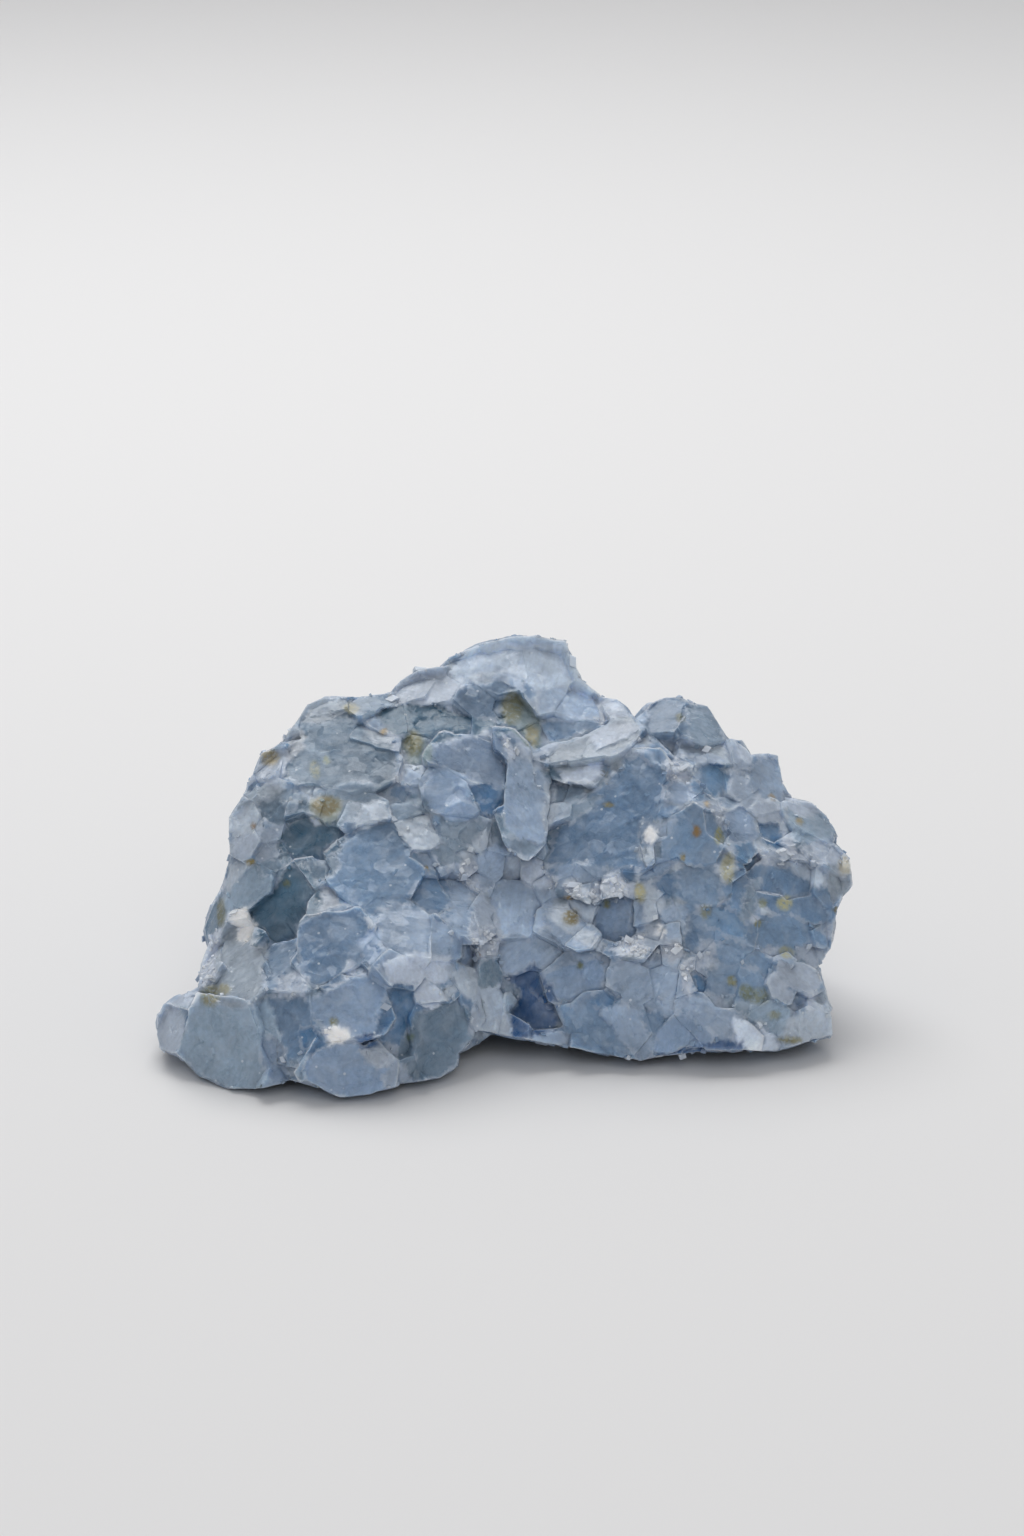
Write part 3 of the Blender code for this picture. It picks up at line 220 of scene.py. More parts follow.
# The crystal faces seen on the front, each with its outline in tenths of a millimetre across and
# up. A later one lies on top of the ones before it.
CRYSTALS = [
    # Foot and left edge.
    ("sea", [(-343, -120), (-335, -105), (-315, -92), (-297, -85), (-285, -104), (-260, -107),
        (-242, -102), (-232, -100), (-227, -110), (-220, -135), (-217, -155), (-215, -180),
        (-238, -188), (-262, -190), (-285, -182), (-305, -170), (-322, -155), (-340, -152),
        (-345, -135)]),
    ("pale", [(-343, -120), (-335, -107), (-320, -110), (-314, -125), (-320, -145), (-325, -154),
        (-340, -154), (-346, -138)]),
    ("pale", [(-337, -108), (-320, -93), (-298, -84), (-296, -90), (-304, -100), (-322, -108),
        (-330, -111)]),
    ("grey", [(-280, -28), (-264, -24), (-255, -38), (-244, -38), (-234, -45), (-232, -55),
        (-238, -68), (-238, -85), (-232, -96), (-242, -103), (-260, -108), (-278, -103),
        (-285, -90), (-285, -65), (-282, -45)]),
    ("frosty", [(-289, -32), (-277, -27), (-281, -45), (-285, -65), (-287, -84), (-297, -87),
        (-302, -82), (-299, -60), (-293, -45)]),
    ("teal", [(-297, -37), (-295, -20), (-287, -5), (-278, 2), (-271, -5), (-277, -20), (-284, -32)]),
    ("sea", [(-278, 0), (-270, 15), (-262, 32), (-248, 38), (-238, 36), (-225, 20), (-229, 5),
        (-238, -2), (-247, -5), (-255, -5), (-262, -8), (-270, -15)]),
    ("dark_teal", [(-247, -6), (-238, 0), (-230, 7), (-220, 20), (-212, 32), (-200, 34),
        (-188, 25), (-178, 10), (-175, 0), (-180, -12), (-190, -20), (-200, -25), (-208, -40),
        (-220, -45), (-232, -43), (-242, -38), (-244, -25), (-252, -12)]),
    # Painted highlight: the glint of light off this cleavage face, painted white.
    ("white", [(-271, -18), (-262, -9), (-255, -7), (-250, -18), (-245, -25), (-247, -35),
        (-254, -43), (-260, -41), (-262, -28), (-268, -24)]),
    ("rosy", [(-184, 22), (-174, 15), (-165, 10), (-158, -5), (-170, -12), (-180, -14), (-175, 0),
        (-178, 12)]),
    ("steel", [(-200, -25), (-188, -17), (-172, -10), (-150, -5), (-138, -12), (-132, -25),
        (-138, -40), (-138, -55), (-134, -68), (-150, -80), (-170, -84), (-188, -86), (-197, -75),
        (-202, -60), (-204, -45), (-207, -38)]),
    ("slate", [(-230, -45), (-218, -43), (-207, -38), (-203, -50), (-202, -65), (-210, -78),
        (-220, -85), (-232, -88), (-235, -75), (-237, -65), (-231, -55)]),
    ("ash", [(-223, -80), (-215, -75), (-202, -72), (-192, -78), (-194, -90), (-202, -96),
        (-215, -97), (-223, -90)]),
    ("snow", [(-158, -70), (-152, -63), (-144, -67), (-146, -76), (-155, -79)]),
    ("steel", [(-232, -98), (-215, -98), (-200, -97), (-190, -103), (-188, -115), (-182, -130),
        (-175, -140), (-178, -152), (-195, -158), (-210, -160), (-216, -145), (-220, -130),
        (-225, -115)]),
    ("deep", [(-200, -130), (-188, -128), (-178, -140), (-168, -145), (-180, -156), (-194, -153)]),
    ("soft", [(-238, -140), (-225, -135), (-218, -145), (-216, -160), (-212, -182), (-225, -184),
        (-235, -170), (-238, -155)]),
    ("foot", [(-210, -160), (-195, -158), (-191, -180), (-203, -182), (-214, -178)]),
    # Blocks at the front foot.
    ("periwinkle", [(-182, -150), (-170, -145), (-150, -145), (-138, -148), (-122, -158),
        (-105, -168), (-105, -182), (-120, -193), (-142, -198), (-158, -199), (-172, -192),
        (-191, -183), (-195, -166)]),
    ("periwinkle", [(-188, -103), (-170, -90), (-150, -80), (-132, -72), (-118, -70), (-112, -85),
        (-114, -100), (-120, -125), (-128, -135), (-148, -136), (-170, -130), (-182, -120),
        (-189, -110)]),
    # Painted highlight: the glint of light off this cleavage face, painted white.
    ("white", [(-174, -130), (-166, -126), (-155, -128), (-151, -136), (-158, -143), (-170, -143)]),
    ("navy", [(-141, -137), (-128, -135), (-122, -140), (-128, -147), (-140, -147)]),
    ("deep", [(-112, -90), (-105, -85), (-89, -86), (-84, -100), (-72, -108), (-82, -120),
        (-92, -130), (-102, -145), (-118, -140), (-123, -134), (-118, -115), (-113, -100)]),
    ("teal", [(-82, -112), (-70, -110), (-58, -103), (-40, -103), (-25, -110), (-24, -125),
        (-28, -137), (-40, -150), (-44, -167), (-60, -177), (-82, -182), (-95, -172),
        (-105, -158), (-100, -142), (-88, -128)]),
    ("rosy", [(-142, -150), (-128, -148), (-112, -148), (-102, -155), (-110, -163), (-120, -167),
        (-130, -162)]),
    ("lavender", [(-105, -160), (-92, -173), (-82, -183), (-95, -190), (-112, -192), (-117, -178)]),
    ("snow", [(-87, -87), (-80, -84), (-68, -85), (-59, -88), (-54, -95), (-60, -104),
        (-67, -110), (-76, -106), (-85, -100)]),
    ("bright", [(-50, -85), (-43, -85), (-43, -95), (-50, -96)]),
    ("steel", [(-42, -90), (-32, -92), (-24, -100), (-25, -110), (-38, -104), (-50, -100)]),
    # Cloudy group left of the middle.
    ("milky", [(-120, -5), (-100, 1), (-94, -5), (-80, -11), (-65, -15), (-50, -25), (-50, -40),
        (-54, -55), (-50, -70), (-56, -80), (-70, -85), (-90, -85), (-105, -84), (-115, -82),
        (-120, -72), (-118, -50), (-120, -30), (-122, -15)]),
    ("snow", [(-118, -64), (-100, -57), (-75, -53), (-54, -57), (-50, -70), (-56, -83), (-75, -83),
        (-95, -84), (-112, -82)]),
    ("periwinkle", [(-142, -42), (-132, -32), (-120, -28), (-118, -45), (-117, -60), (-128, -66),
        (-136, -60)]),
    ("steel", [(-82, 20), (-68, 27), (-53, 22), (-48, 5), (-52, -10), (-53, -22), (-70, -15),
        (-85, -8), (-92, -2), (-89, 10)]),
    ("milky", [(-52, 20), (-40, 21), (-28, 10), (-26, -5), (-30, -25), (-32, -38), (-45, -38),
        (-50, -25), (-54, -8), (-48, 5)]),
    ("pale", [(-27, 9), (-18, 7), (-10, -5), (-3, -22), (-10, -28), (-22, -32), (-28, -40),
        (-30, -25), (-26, -8)]),
    ("frosty", [(-27, -35), (-18, -30), (-8, -26), (0, -25), (3, -38), (-2, -52), (-10, -59),
        (-18, -55), (-26, -48)]),
    ("periwinkle", [(-50, -45), (-42, -38), (-30, -38), (-28, -50), (-24, -58), (-34, -68), (-40, -72),
        (-47, -62)]),
    ("bright", [(-52, -64), (-42, -72), (-34, -68), (-28, -60), (-22, -62), (-20, -75),
        (-21, -90), (-23, -102), (-34, -95), (-42, -88), (-42, -78), (-50, -75)]),
    ("moss", [(-21, -62), (-10, -58), (-2, -66), (5, -75), (3, -85), (-10, -88), (-20, -90)]),
    ("bright_milk", [(-22, -90), (-8, -87), (3, -85), (5, -98), (7, -115), (10, -130), (7, -138),
        (-5, -135), (-15, -135), (-22, -130), (-23, -108)]),
    ("bright", [(-12, -122), (0, -118), (8, -122), (8, -137), (-5, -135)]),
    ("pale", [(-28, -108), (-23, -108), (-22, -130), (-26, -136), (-30, -130)]),
    # Upper middle.
    ("blue", [(-132, 72), (-120, 78), (-102, 78), (-98, 62), (-90, 52), (-80, 45), (-68, 32),
        (-55, 30), (-52, 20), (-68, 26), (-82, 20), (-89, 10), (-94, -3), (-110, 0), (-122, -10),
        (-128, -20), (-138, -12), (-150, -5), (-158, -5), (-165, 10), (-180, 20), (-170, 32),
        (-160, 50), (-155, 62), (-145, 68)]),
    ("bright", [(-105, 76), (-95, 79), (-82, 84), (-70, 88), (-66, 72), (-59, 58), (-68, 52),
        (-80, 48), (-92, 54), (-98, 64)]),
    ("foot", [(-163, 92), (-155, 97), (-145, 100), (-138, 94), (-140, 85), (-148, 77), (-158, 78)]),
    ("bright", [(-138, 98), (-125, 103), (-115, 97), (-110, 88), (-112, 83), (-125, 78),
        (-132, 72), (-144, 72), (-146, 80), (-138, 88)]),
    ("foot", [(-55, 75), (-40, 83), (-22, 86), (-10, 78), (-10, 62), (-20, 52), (-35, 47),
        (-45, 38), (-60, 34), (-66, 45), (-59, 58)]),
    ("sky", [(-45, 35), (-30, 42), (-12, 50), (0, 55), (14, 50), (10, 40), (5, 30), (2, 20),
        (-10, 15), (-20, 10), (-30, 13), (-38, 22), (-45, 28)]),
    ("frosty", [(-40, 38), (-28, 40), (-22, 25), (-20, 12), (-30, 13), (-38, 23)]),
    ("bright", [(-40, 49), (-25, 56), (-13, 70), (-8, 62), (-15, 50), (-30, 42), (-39, 42)]),
    ("bright_milk", [(10, 42), (22, 46), (30, 40), (22, 30), (20, 20), (8, 20), (4, 28)]),
    ("snow", [(22, 34), (35, 38), (45, 28), (48, 15), (40, 10), (28, 15), (20, 22)]),
    ("snow", [(32, 44), (40, 50), (47, 44), (42, 35), (34, 38)]),
    ("milky", [(-82, 44), (-70, 49), (-67, 40), (-64, 32), (-72, 35)]),
    ("foot", [(-112, 95), (-100, 100), (-82, 98), (-70, 92), (-70, 88), (-85, 84), (-100, 80),
        (-110, 82)]),
    ("moss", [(-10, 80), (2, 85), (10, 70), (20, 60), (40, 57), (48, 50), (35, 50), (15, 50),
        (-2, 57), (-8, 65)]),
    ("foot", [(0, 62), (20, 60), (45, 55), (48, 38), (35, 42), (15, 48)]),
    # Middle right of the crack.
    ("sky", [(-12, 10), (5, 18), (20, 20), (30, 12), (45, 8), (50, -5), (45, -25), (30, -38),
        (5, -37), (-2, -20)]),
    ("milky", [(3, -38), (30, -38), (45, -28), (60, -35), (75, -45), (80, -60), (75, -75),
        (60, -85), (50, -85), (45, -70), (35, -66), (20, -70), (5, -74), (0, -58)]),
    ("milky", [(48, -5), (53, -15), (65, -30), (80, -40), (100, -52), (92, -62), (80, -58),
        (65, -45), (52, -35), (46, -22)]),
    ("periwinkle", [(45, -75), (75, -65), (100, -58), (106, -75), (100, -90), (90, -100), (75, -106),
        (60, -103), (52, -90)]),
    ("navy", [(7, -78), (18, -73), (30, -68), (40, -69), (43, -78), (50, -88), (57, -101),
        (58, -118), (50, -136), (30, -139), (11, -137), (10, -110), (18, -103), (19, -85)]),
    ("foot", [(5, -85), (12, -84), (17, -92), (16, -102), (8, -106), (4, -98)]),
    ("deep", [(98, -90), (112, -88), (117, -100), (112, -110), (98, -110), (92, -100)]),
    ("milky", [(105, -65), (140, -60), (180, -62), (188, -80), (192, -100), (172, -118),
        (155, -110), (140, -108), (120, -100), (112, -85)]),
    ("blue", [(58, -105), (90, -105), (100, -112), (112, -125), (120, -140), (140, -160),
        (120, -160), (85, -154), (68, -147), (65, -125)]),
    ("milky", [(100, -112), (115, -105), (132, -108), (143, -115), (145, -132), (155, -140),
        (152, -158), (140, -160), (122, -140), (112, -125)]),
    ("milky", [(26, -138), (45, -134), (62, -131), (74, -142), (62, -148), (45, -144)]),
    ("steel", [(143, -115), (155, -112), (168, -120), (165, -132), (155, -138), (145, -130)]),
    ("bright_milk", [(66, 2), (85, 3), (98, 0), (96, -12), (90, -25), (78, -14), (70, -5)]),
    ("bright", [(51, -18), (58, -8), (68, -7), (78, -12), (72, -18), (80, -28), (92, -32),
        (100, -40), (102, -49), (90, -47), (76, -38), (64, -28)]),
    ("crushed", [(65, 15), (75, 19), (90, 12), (102, 16), (112, 12), (125, 15), (128, 5),
        (112, 2), (98, 0), (85, 3), (72, 4)]),
    ("crushed", [(106, 25), (116, 29), (126, 18), (120, 10), (108, 12)]),
    ("milky", [(60, 32), (80, 38), (100, 36), (108, 28), (102, 18), (88, 13), (72, 20),
        (62, 20)]),
    ("periwinkle", [(96, -12), (105, -3), (118, 0), (135, 2), (145, -5), (145, -25), (140, -35),
        (122, -44), (108, -45), (98, -35), (94, -22)]),
    ("bright", [(136, 10), (150, 20), (158, 8), (162, -5), (155, -20), (148, -26), (145, -5)]),
    ("crushed", [(110, -50), (122, -43), (135, -36), (145, -32), (152, -45), (145, -55), (125, -55)]),
    ("lavender", [(145, -25), (160, -18), (168, -30), (165, -45), (155, -52), (148, -45)]),
    ("milky", [(160, -8), (175, -5), (190, -10), (183, -30), (180, -45), (170, -45), (168, -30)]),
    # Painted highlight: the glint of light off this cleavage face, painted white.
    ("white", [(159, -24), (166, -32), (163, -38), (157, -34)]),
    ("frosty", [(163, -50), (172, -40), (180, -45), (185, -55), (175, -62), (162, -58)]),
    ("steel", [(190, -15), (205, -12), (220, -20), (228, -35), (215, -45), (205, -42), (195, -55),
        (186, -50), (183, -35)]),
    ("frosty", [(182, -66), (192, -58), (197, -70), (195, -85), (190, -96), (182, -86)]),
    ("ash", [(200, -45), (212, -42), (218, -55), (205, -70), (195, -62)]),
    ("deep", [(192, -70), (206, -75), (208, -90), (200, -96), (192, -86)]),
    # Right block.
    ("blue", [(162, 18), (180, 30), (200, 38), (215, 32), (222, 10), (215, -5), (200, -5),
        (180, 3), (168, 5)]),
    ("deep", [(152, 20), (168, 27), (176, 15), (173, 0), (160, 6)]),
    ("steel", [(222, 10), (235, 30), (250, 32), (260, 35), (290, 32), (315, 15), (330, 10),
        (336, -5), (332, -20), (315, -25), (295, -15), (275, -12), (258, -5), (248, -15),
        (238, -15), (225, -5)]),
    ("slate_teal", [(200, -12), (222, -5), (240, -15), (255, -25), (250, -38), (228, -35), (212, -25)]),
    ("blue", [(250, -25), (275, -15), (300, -18), (315, -28), (326, -35), (328, -46), (305, -45),
        (290, -55), (275, -50), (255, -45), (245, -38)]),
    ("foot", [(241, -18), (246, 2), (253, 20), (260, 22), (257, 0), (252, -15), (246, -22)]),
    ("grey", [(330, 34), (350, 30), (353, 10), (340, 1), (335, -5), (328, 10)]),
    ("cream", [(339, 42), (349, 39), (352, 25), (343, 22), (338, 30)]),
    ("blue", [(215, -45), (235, -42), (260, -50), (275, -55), (285, -65), (275, -75), (255, -72),
        (235, -62), (220, -60)]),
    ("blue", [(206, -72), (222, -62), (240, -65), (260, -75), (270, -90), (260, -105),
        (245, -105), (225, -97), (208, -92)]),
    ("pale", [(265, -80), (275, -72), (288, -85), (292, -95), (285, -107), (274, -97)]),
    ("pale", [(278, -60), (290, -65), (315, -66), (323, -78), (315, -90), (300, -92), (288, -85),
        (278, -75)]),
    ("pale", [(295, -50), (312, -45), (329, -50), (326, -60), (312, -63), (298, -60)]),
    ("ash", [(268, -45), (278, -50), (280, -60), (270, -60), (262, -52)]),
    ("periwinkle", [(293, -90), (303, -92), (305, -103), (295, -103)]),
    ("snow", [(303, -100), (315, -102), (325, -110), (315, -112), (305, -108)]),
    ("bright", [(305, -112), (328, -103), (334, -120), (332, -138), (300, -145), (283, -137),
        (290, -120)]),
    ("sea", [(225, -97), (245, -105), (262, -105), (275, -96), (290, -106), (288, -125),
        (282, -136), (265, -128), (245, -120), (235, -112)]),
    ("milky", [(190, -95), (205, -100), (225, -110), (245, -122), (265, -130), (278, -140),
        (276, -152), (258, -152), (235, -144), (215, -138), (200, -130), (185, -115)]),
    ("periwinkle", [(155, -140), (165, -122), (178, -114), (190, -112), (205, -130), (218, -138),
        (200, -146), (165, -153), (155, -153)]),
    ("snow", [(232, -119), (255, -126), (272, -135), (279, -146), (270, -153), (252, -150),
        (238, -140)]),
    ("navy", [(155, -156), (200, -146), (230, -140), (244, -147), (235, -156), (200, -158),
        (165, -159)]),
    # Long slope right of the middle.
    ("steel", [(48, 38), (52, 55), (62, 72), (78, 88), (92, 104), (108, 118), (125, 132),
        (142, 148), (155, 158), (165, 152), (172, 138), (168, 115), (162, 100), (168, 85),
        (155, 82), (145, 78), (140, 62), (136, 50), (140, 38), (125, 32), (105, 34), (85, 38),
        (65, 36)]),
    ("blue", [(140, 147), (155, 159), (168, 152), (176, 138), (168, 125), (158, 134), (148, 140)]),
    ("periwinkle", [(140, 38), (155, 42), (172, 40), (168, 28), (155, 20), (142, 24)]),
    ("deep", [(120, 30), (134, 32), (136, 20), (126, 16)]),
    ("blue", [(180, 90), (195, 97), (212, 92), (222, 75), (218, 55), (222, 38), (205, 34),
        (190, 37), (175, 38), (162, 42), (160, 58), (172, 68)]),
    ("soft", [(168, 115), (180, 122), (192, 115), (197, 105), (185, 95), (172, 98), (164, 105)]),
    ("frosty", [(164, 138), (175, 138), (186, 130), (190, 120), (178, 118), (168, 122)]),
    ("steel", [(190, 120), (205, 120), (212, 105), (205, 94), (197, 97), (197, 105)]),
    ("soft", [(140, 78), (150, 80), (160, 72), (158, 60), (145, 54), (140, 62)]),
    # Painted highlight: the glint of light off this cleavage face, painted white.
    ("white", [(143, 66), (150, 73), (156, 68), (153, 58), (146, 58)]),
    ("grey", [(138, 50), (150, 52), (155, 42), (148, 36), (140, 38)]),
    ("milky", [(160, 78), (174, 82), (171, 68), (161, 62)]),
    ("ash", [(200, 94), (218, 101), (228, 88), (231, 75), (222, 71), (214, 87)]),
    ("slate", [(206, 105), (222, 105), (242, 97), (230, 91), (215, 97)]),
    ("soft", [(228, 88), (242, 94), (254, 80), (260, 65), (250, 55), (235, 58), (226, 65)]),
    ("slate_teal", [(235, 55), (250, 58), (257, 45), (250, 32), (238, 34)]),
    ("deep", [(260, 75), (275, 79), (283, 65), (286, 52), (275, 49), (263, 58)]),
    ("ash", [(262, 52), (278, 48), (292, 38), (286, 31), (270, 37)]),
    ("frosty", [(282, 71), (290, 63), (299, 44), (292, 39), (285, 52)]),
    ("lavender", [(228, 128), (242, 128), (255, 112), (263, 95), (250, 87), (238, 100), (228, 112)]),
    ("pale", [(257, 102), (270, 100), (282, 90), (276, 78), (260, 77), (252, 88)]),
    ("slate_teal", [(200, 135), (220, 138), (229, 125), (228, 110), (215, 104), (202, 115)]),
    ("slate", [(143, 176), (150, 195), (168, 202), (182, 196), (192, 185), (191, 165), (175, 160),
        (155, 158), (145, 164)]),
    ("foot", [(192, 185), (200, 195), (213, 194), (221, 178), (224, 158), (212, 151), (198, 154),
        (191, 165)]),
    ("lavender", [(180, 155), (200, 152), (215, 145), (228, 138), (200, 136), (188, 142)]),
    ("lavender", [(222, 158), (235, 155), (247, 143), (249, 128), (235, 128), (228, 140)]),
    ("milky", [(252, 135), (270, 143), (281, 137), (284, 115), (280, 99), (265, 101), (252, 113),
        (248, 125)]),
    ("pale", [(235, 157), (242, 160), (252, 145), (250, 132), (240, 145)]),
    ("sea", [(288, 94), (305, 100), (322, 92), (334, 80), (338, 66), (320, 60), (300, 58),
        (288, 68)]),
    ("pale", [(285, 97), (305, 101), (320, 94), (312, 85), (295, 85)]),
    ("ash", [(298, 52), (320, 59), (336, 50), (350, 42), (340, 36), (315, 39), (300, 38)]),
    ("bright_milk", [(300, 38), (315, 34), (326, 20), (318, 13), (305, 23)]),
    ("bright_milk", [(290, 40), (300, 38), (306, 23), (296, 26)]),
    # Peak and pale blades.
    ("bright_milk", [(-52, 225), (-35, 245), (-20, 255), (0, 263), (25, 266), (50, 265), (67, 260),
        (70, 245), (80, 228), (92, 210), (85, 198), (60, 188), (45, 200), (35, 212), (20, 222),
        (0, 228), (-20, 228), (-35, 220), (-45, 213)]),
    ("sky", [(38, 210), (60, 212), (92, 205), (106, 195), (100, 182), (75, 178), (50, 178),
        (40, 185)]),
    ("pale", [(90, 205), (105, 202), (122, 202), (137, 188), (126, 181), (105, 182)]),
    ("blue", [(41, 178), (65, 178), (90, 180), (100, 178), (85, 170), (65, 162), (48, 159)]),
    ("milky", [(126, 195), (141, 197), (150, 185), (140, 174), (130, 182)]),
    ("snow", [(60, 125), (80, 132), (102, 142), (100, 125), (82, 114), (65, 113)]),
    ("grey", [(47, 143), (62, 155), (80, 165), (100, 173), (118, 183), (133, 181), (141, 165),
        (125, 154), (105, 143), (85, 133), (65, 128), (52, 133)]),
    ("pale", [(90, 165), (115, 178), (130, 176), (136, 166), (115, 158), (98, 152)]),
    ("dark_teal", [(46, 140), (56, 130), (61, 119), (52, 124)]),
    ("foot", [(53, 115), (70, 114), (86, 114), (76, 95), (62, 83), (52, 94)]),
    ("foot", [(58, 83), (80, 98), (102, 106), (92, 92), (70, 77)]),
    ("olive", [(0, 195), (15, 202), (30, 197), (39, 180), (41, 152), (30, 150), (18, 163),
        (8, 173), (2, 185)]),
    ("dark_teal", [(0, 185), (8, 173), (3, 163), (-5, 165)]),
    ("soft", [(-70, 154), (-45, 162), (-20, 165), (0, 162), (7, 145), (5, 125), (2, 105),
        (-10, 115), (-30, 120), (-50, 130), (-65, 132)]),
    ("deep", [(-28, 113), (-10, 116), (2, 105), (3, 86), (-10, 86), (-22, 90), (-32, 100)]),
    ("milky", [(3, 167), (9, 155), (19, 145), (31, 135), (46, 122), (56, 110), (56, 95), (52, 80),
        (46, 67), (40, 56), (30, 61), (18, 61), (8, 73), (3, 88), (2, 105), (5, 125), (8, 140),
        (2, 155)]),
    ("bright", [(44, 120), (56, 110), (57, 94), (53, 79), (46, 67), (43, 83), (47, 103)]),
    ("frosty", [(1, 167), (8, 158), (17, 147), (12, 143), (5, 152)]),
    ("periwinkle", [(-84, 114), (-70, 128), (-52, 131), (-35, 123), (-27, 110), (-34, 95),
        (-50, 87), (-65, 87), (-78, 98)]),
    ("periwinkle", [(-60, 90), (-40, 99), (-30, 97), (-19, 87), (-38, 80), (-52, 79)]),
    ("milky", [(-99, 124), (-85, 131), (-72, 122), (-79, 112), (-89, 103), (-96, 111)]),
    ("blue", [(-108, 115), (-97, 115), (-92, 102), (-101, 99), (-111, 104)]),
    ("teal", [(-95, 103), (-82, 105), (-70, 94), (-80, 95), (-92, 97)]),
    ("dark_teal", [(-122, 188), (-100, 196), (-75, 196), (-50, 188), (-20, 182), (-3, 178),
        (-20, 167), (-45, 162), (-70, 157), (-90, 161), (-110, 167)]),
    ("slate", [(-48, 208), (-25, 216), (0, 220), (14, 210), (6, 195), (0, 182), (-20, 182),
        (-40, 187), (-50, 198)]),
    ("pale", [(-110, 198), (-100, 216), (-85, 227), (-65, 234), (-50, 227), (-44, 213),
        (-52, 199), (-70, 195), (-90, 196)]),
    ("foot", [(-157, 198), (-135, 204), (-110, 205), (-108, 196), (-120, 188), (-135, 181),
        (-148, 189)]),
    ("olive", [(-97, 159), (-82, 166), (-69, 155), (-71, 139), (-82, 128), (-93, 137)]),
    ("grey", [(-139, 172), (-125, 168), (-103, 162), (-110, 155), (-128, 157)]),
    # Big upper left face.
    ("teal", [(-202, 176), (-180, 185), (-155, 186), (-140, 173), (-125, 158), (-108, 154),
        (-103, 135), (-108, 115), (-120, 102), (-140, 97), (-155, 101), (-170, 109), (-188, 111),
        (-202, 119), (-216, 124), (-210, 140), (-198, 155), (-195, 165)]),
    ("foot", [(-190, 110), (-170, 112), (-150, 118), (-130, 115), (-119, 102), (-138, 97),
        (-160, 99), (-180, 101)]),
    ("grey", [(-202, 180), (-193, 196), (-180, 202), (-155, 200), (-149, 188), (-170, 180),
        (-188, 177)]),
    ("cream", [(-217, 143), (-210, 158), (-201, 169), (-194, 162), (-200, 150), (-210, 139)]),
    ("pale", [(-245, 133), (-230, 148), (-215, 152), (-212, 140), (-215, 125), (-225, 117),
        (-240, 116)]),
    ("teal", [(-238, 100), (-225, 108), (-210, 110), (-195, 105), (-190, 92), (-192, 81),
        (-205, 79), (-220, 74), (-232, 77), (-238, 88)]),
    ("foot", [(-219, 104), (-209, 110), (-202, 105), (-205, 90), (-210, 87)]),
    ("bright", [(-271, 84), (-258, 93), (-245, 97), (-238, 85), (-238, 74), (-250, 65), (-265, 61),
        (-271, 71)]),
    ("pale", [(-269, 59), (-250, 65), (-238, 72), (-235, 64), (-244, 50), (-255, 36), (-267, 43)]),
    ("grey", [(-257, 98), (-246, 111), (-232, 116), (-221, 110), (-238, 100), (-243, 92),
        (-253, 91)]),
    ("lavender", [(-246, 49), (-235, 69), (-215, 75), (-207, 78), (-214, 65), (-220, 50), (-230, 39),
        (-242, 37)]),
    ("dark_teal", [(-210, 75), (-200, 82), (-188, 82), (-175, 80), (-162, 76), (-157, 60),
        (-164, 44), (-178, 41), (-195, 39), (-210, 37), (-220, 39), (-222, 55), (-217, 65)]),
    ("tan", [(-191, 99), (-175, 103), (-158, 99), (-161, 84), (-170, 77), (-185, 77), (-190, 88)]),
    ("snow", [(-189, 82), (-183, 83), (-179, 76), (-186, 75)]),
    ("teal", [(-196, 38), (-180, 41), (-164, 43), (-161, 34), (-175, 21), (-185, 19)]),
    ("bright", [(-276, 16), (-269, 34), (-256, 41), (-244, 38), (-259, 27), (-270, 8)]),
    ("teal", [(-243, 37), (-225, 42), (-214, 35), (-219, 24), (-235, 26)]),
    ("blue", [(-157, 76), (-148, 76), (-145, 68), (-155, 62)]),
]

# Small broken crystals fill what lies between those, a square of so many millimetres each, over
# a front that reaches this far to each side and up and down.
FILL_STEP = 1.25
FILL_JITTER = 0.55
HALF_WIDTH, HALF_HEIGHT = 36.0, 28.0
FILL_SHADES = ("steel", "blue", "milky", "frosty", "ash", "teal", "lavender", "soft", "bright",
               "grey")

# The sides that the outlines don't cover: how many crystals, how far they stand out or lie back,
# how much they lean, how frosted they are beside those of the front, and between which heights
# above the table they start to stand out.
UNSEEN_SHADES = ("steel", "blue", "soft", "periwinkle", "milky", "blue", "soft", "teal", "pale",
                 "deep", "lavender", "foot", "milky", "ash", "grey")
HIDDEN_CRYSTALS = 620
HIDDEN_STEP = 0.16 * MM
HIDDEN_LEAN = 0.10
HIDDEN_FROST = 0.6
FOOT_FADE = (0.2 * MM, 1.5 * MM)

# How flat each front crystal is made, how far that may move a point in millimetres, and what
# share of an edge a point may slide to reach a border.
FLATTEN = 0.85
LARGEST_SHIFT = 0.33
BORDER_REACH = 0.42
BORDER_ROUNDS = 4
FEWEST_POINTS = 8

# A point is in sight where its face is turned to the eye by these shares, and nothing hides it.
EDGE_ON, FACE_ON = 0.10, 0.32
CLEAR_OF_FACE = 0.12 * MM
SIGHT_REACH = 60 * MM

# The crystals' outlines wander by a few tenths of a millimetre, in long and in short waves.
WANDER = ((1.5 * MM, 0.28), (0.5 * MM, 0.15))
SHADE_CHANGE = 0.05
SEED = 7
CHUNK = 4000


def linear(code):
    """A colour written as six hex digits, as the shader's linear red, green and blue."""
    values = np.array([int(code[i:i + 2], 16) for i in (1, 3, 5)]) / 255.0
    return np.where(values > 0.04045, ((values + 0.055) / 1.055) ** 2.4, values / 12.92)


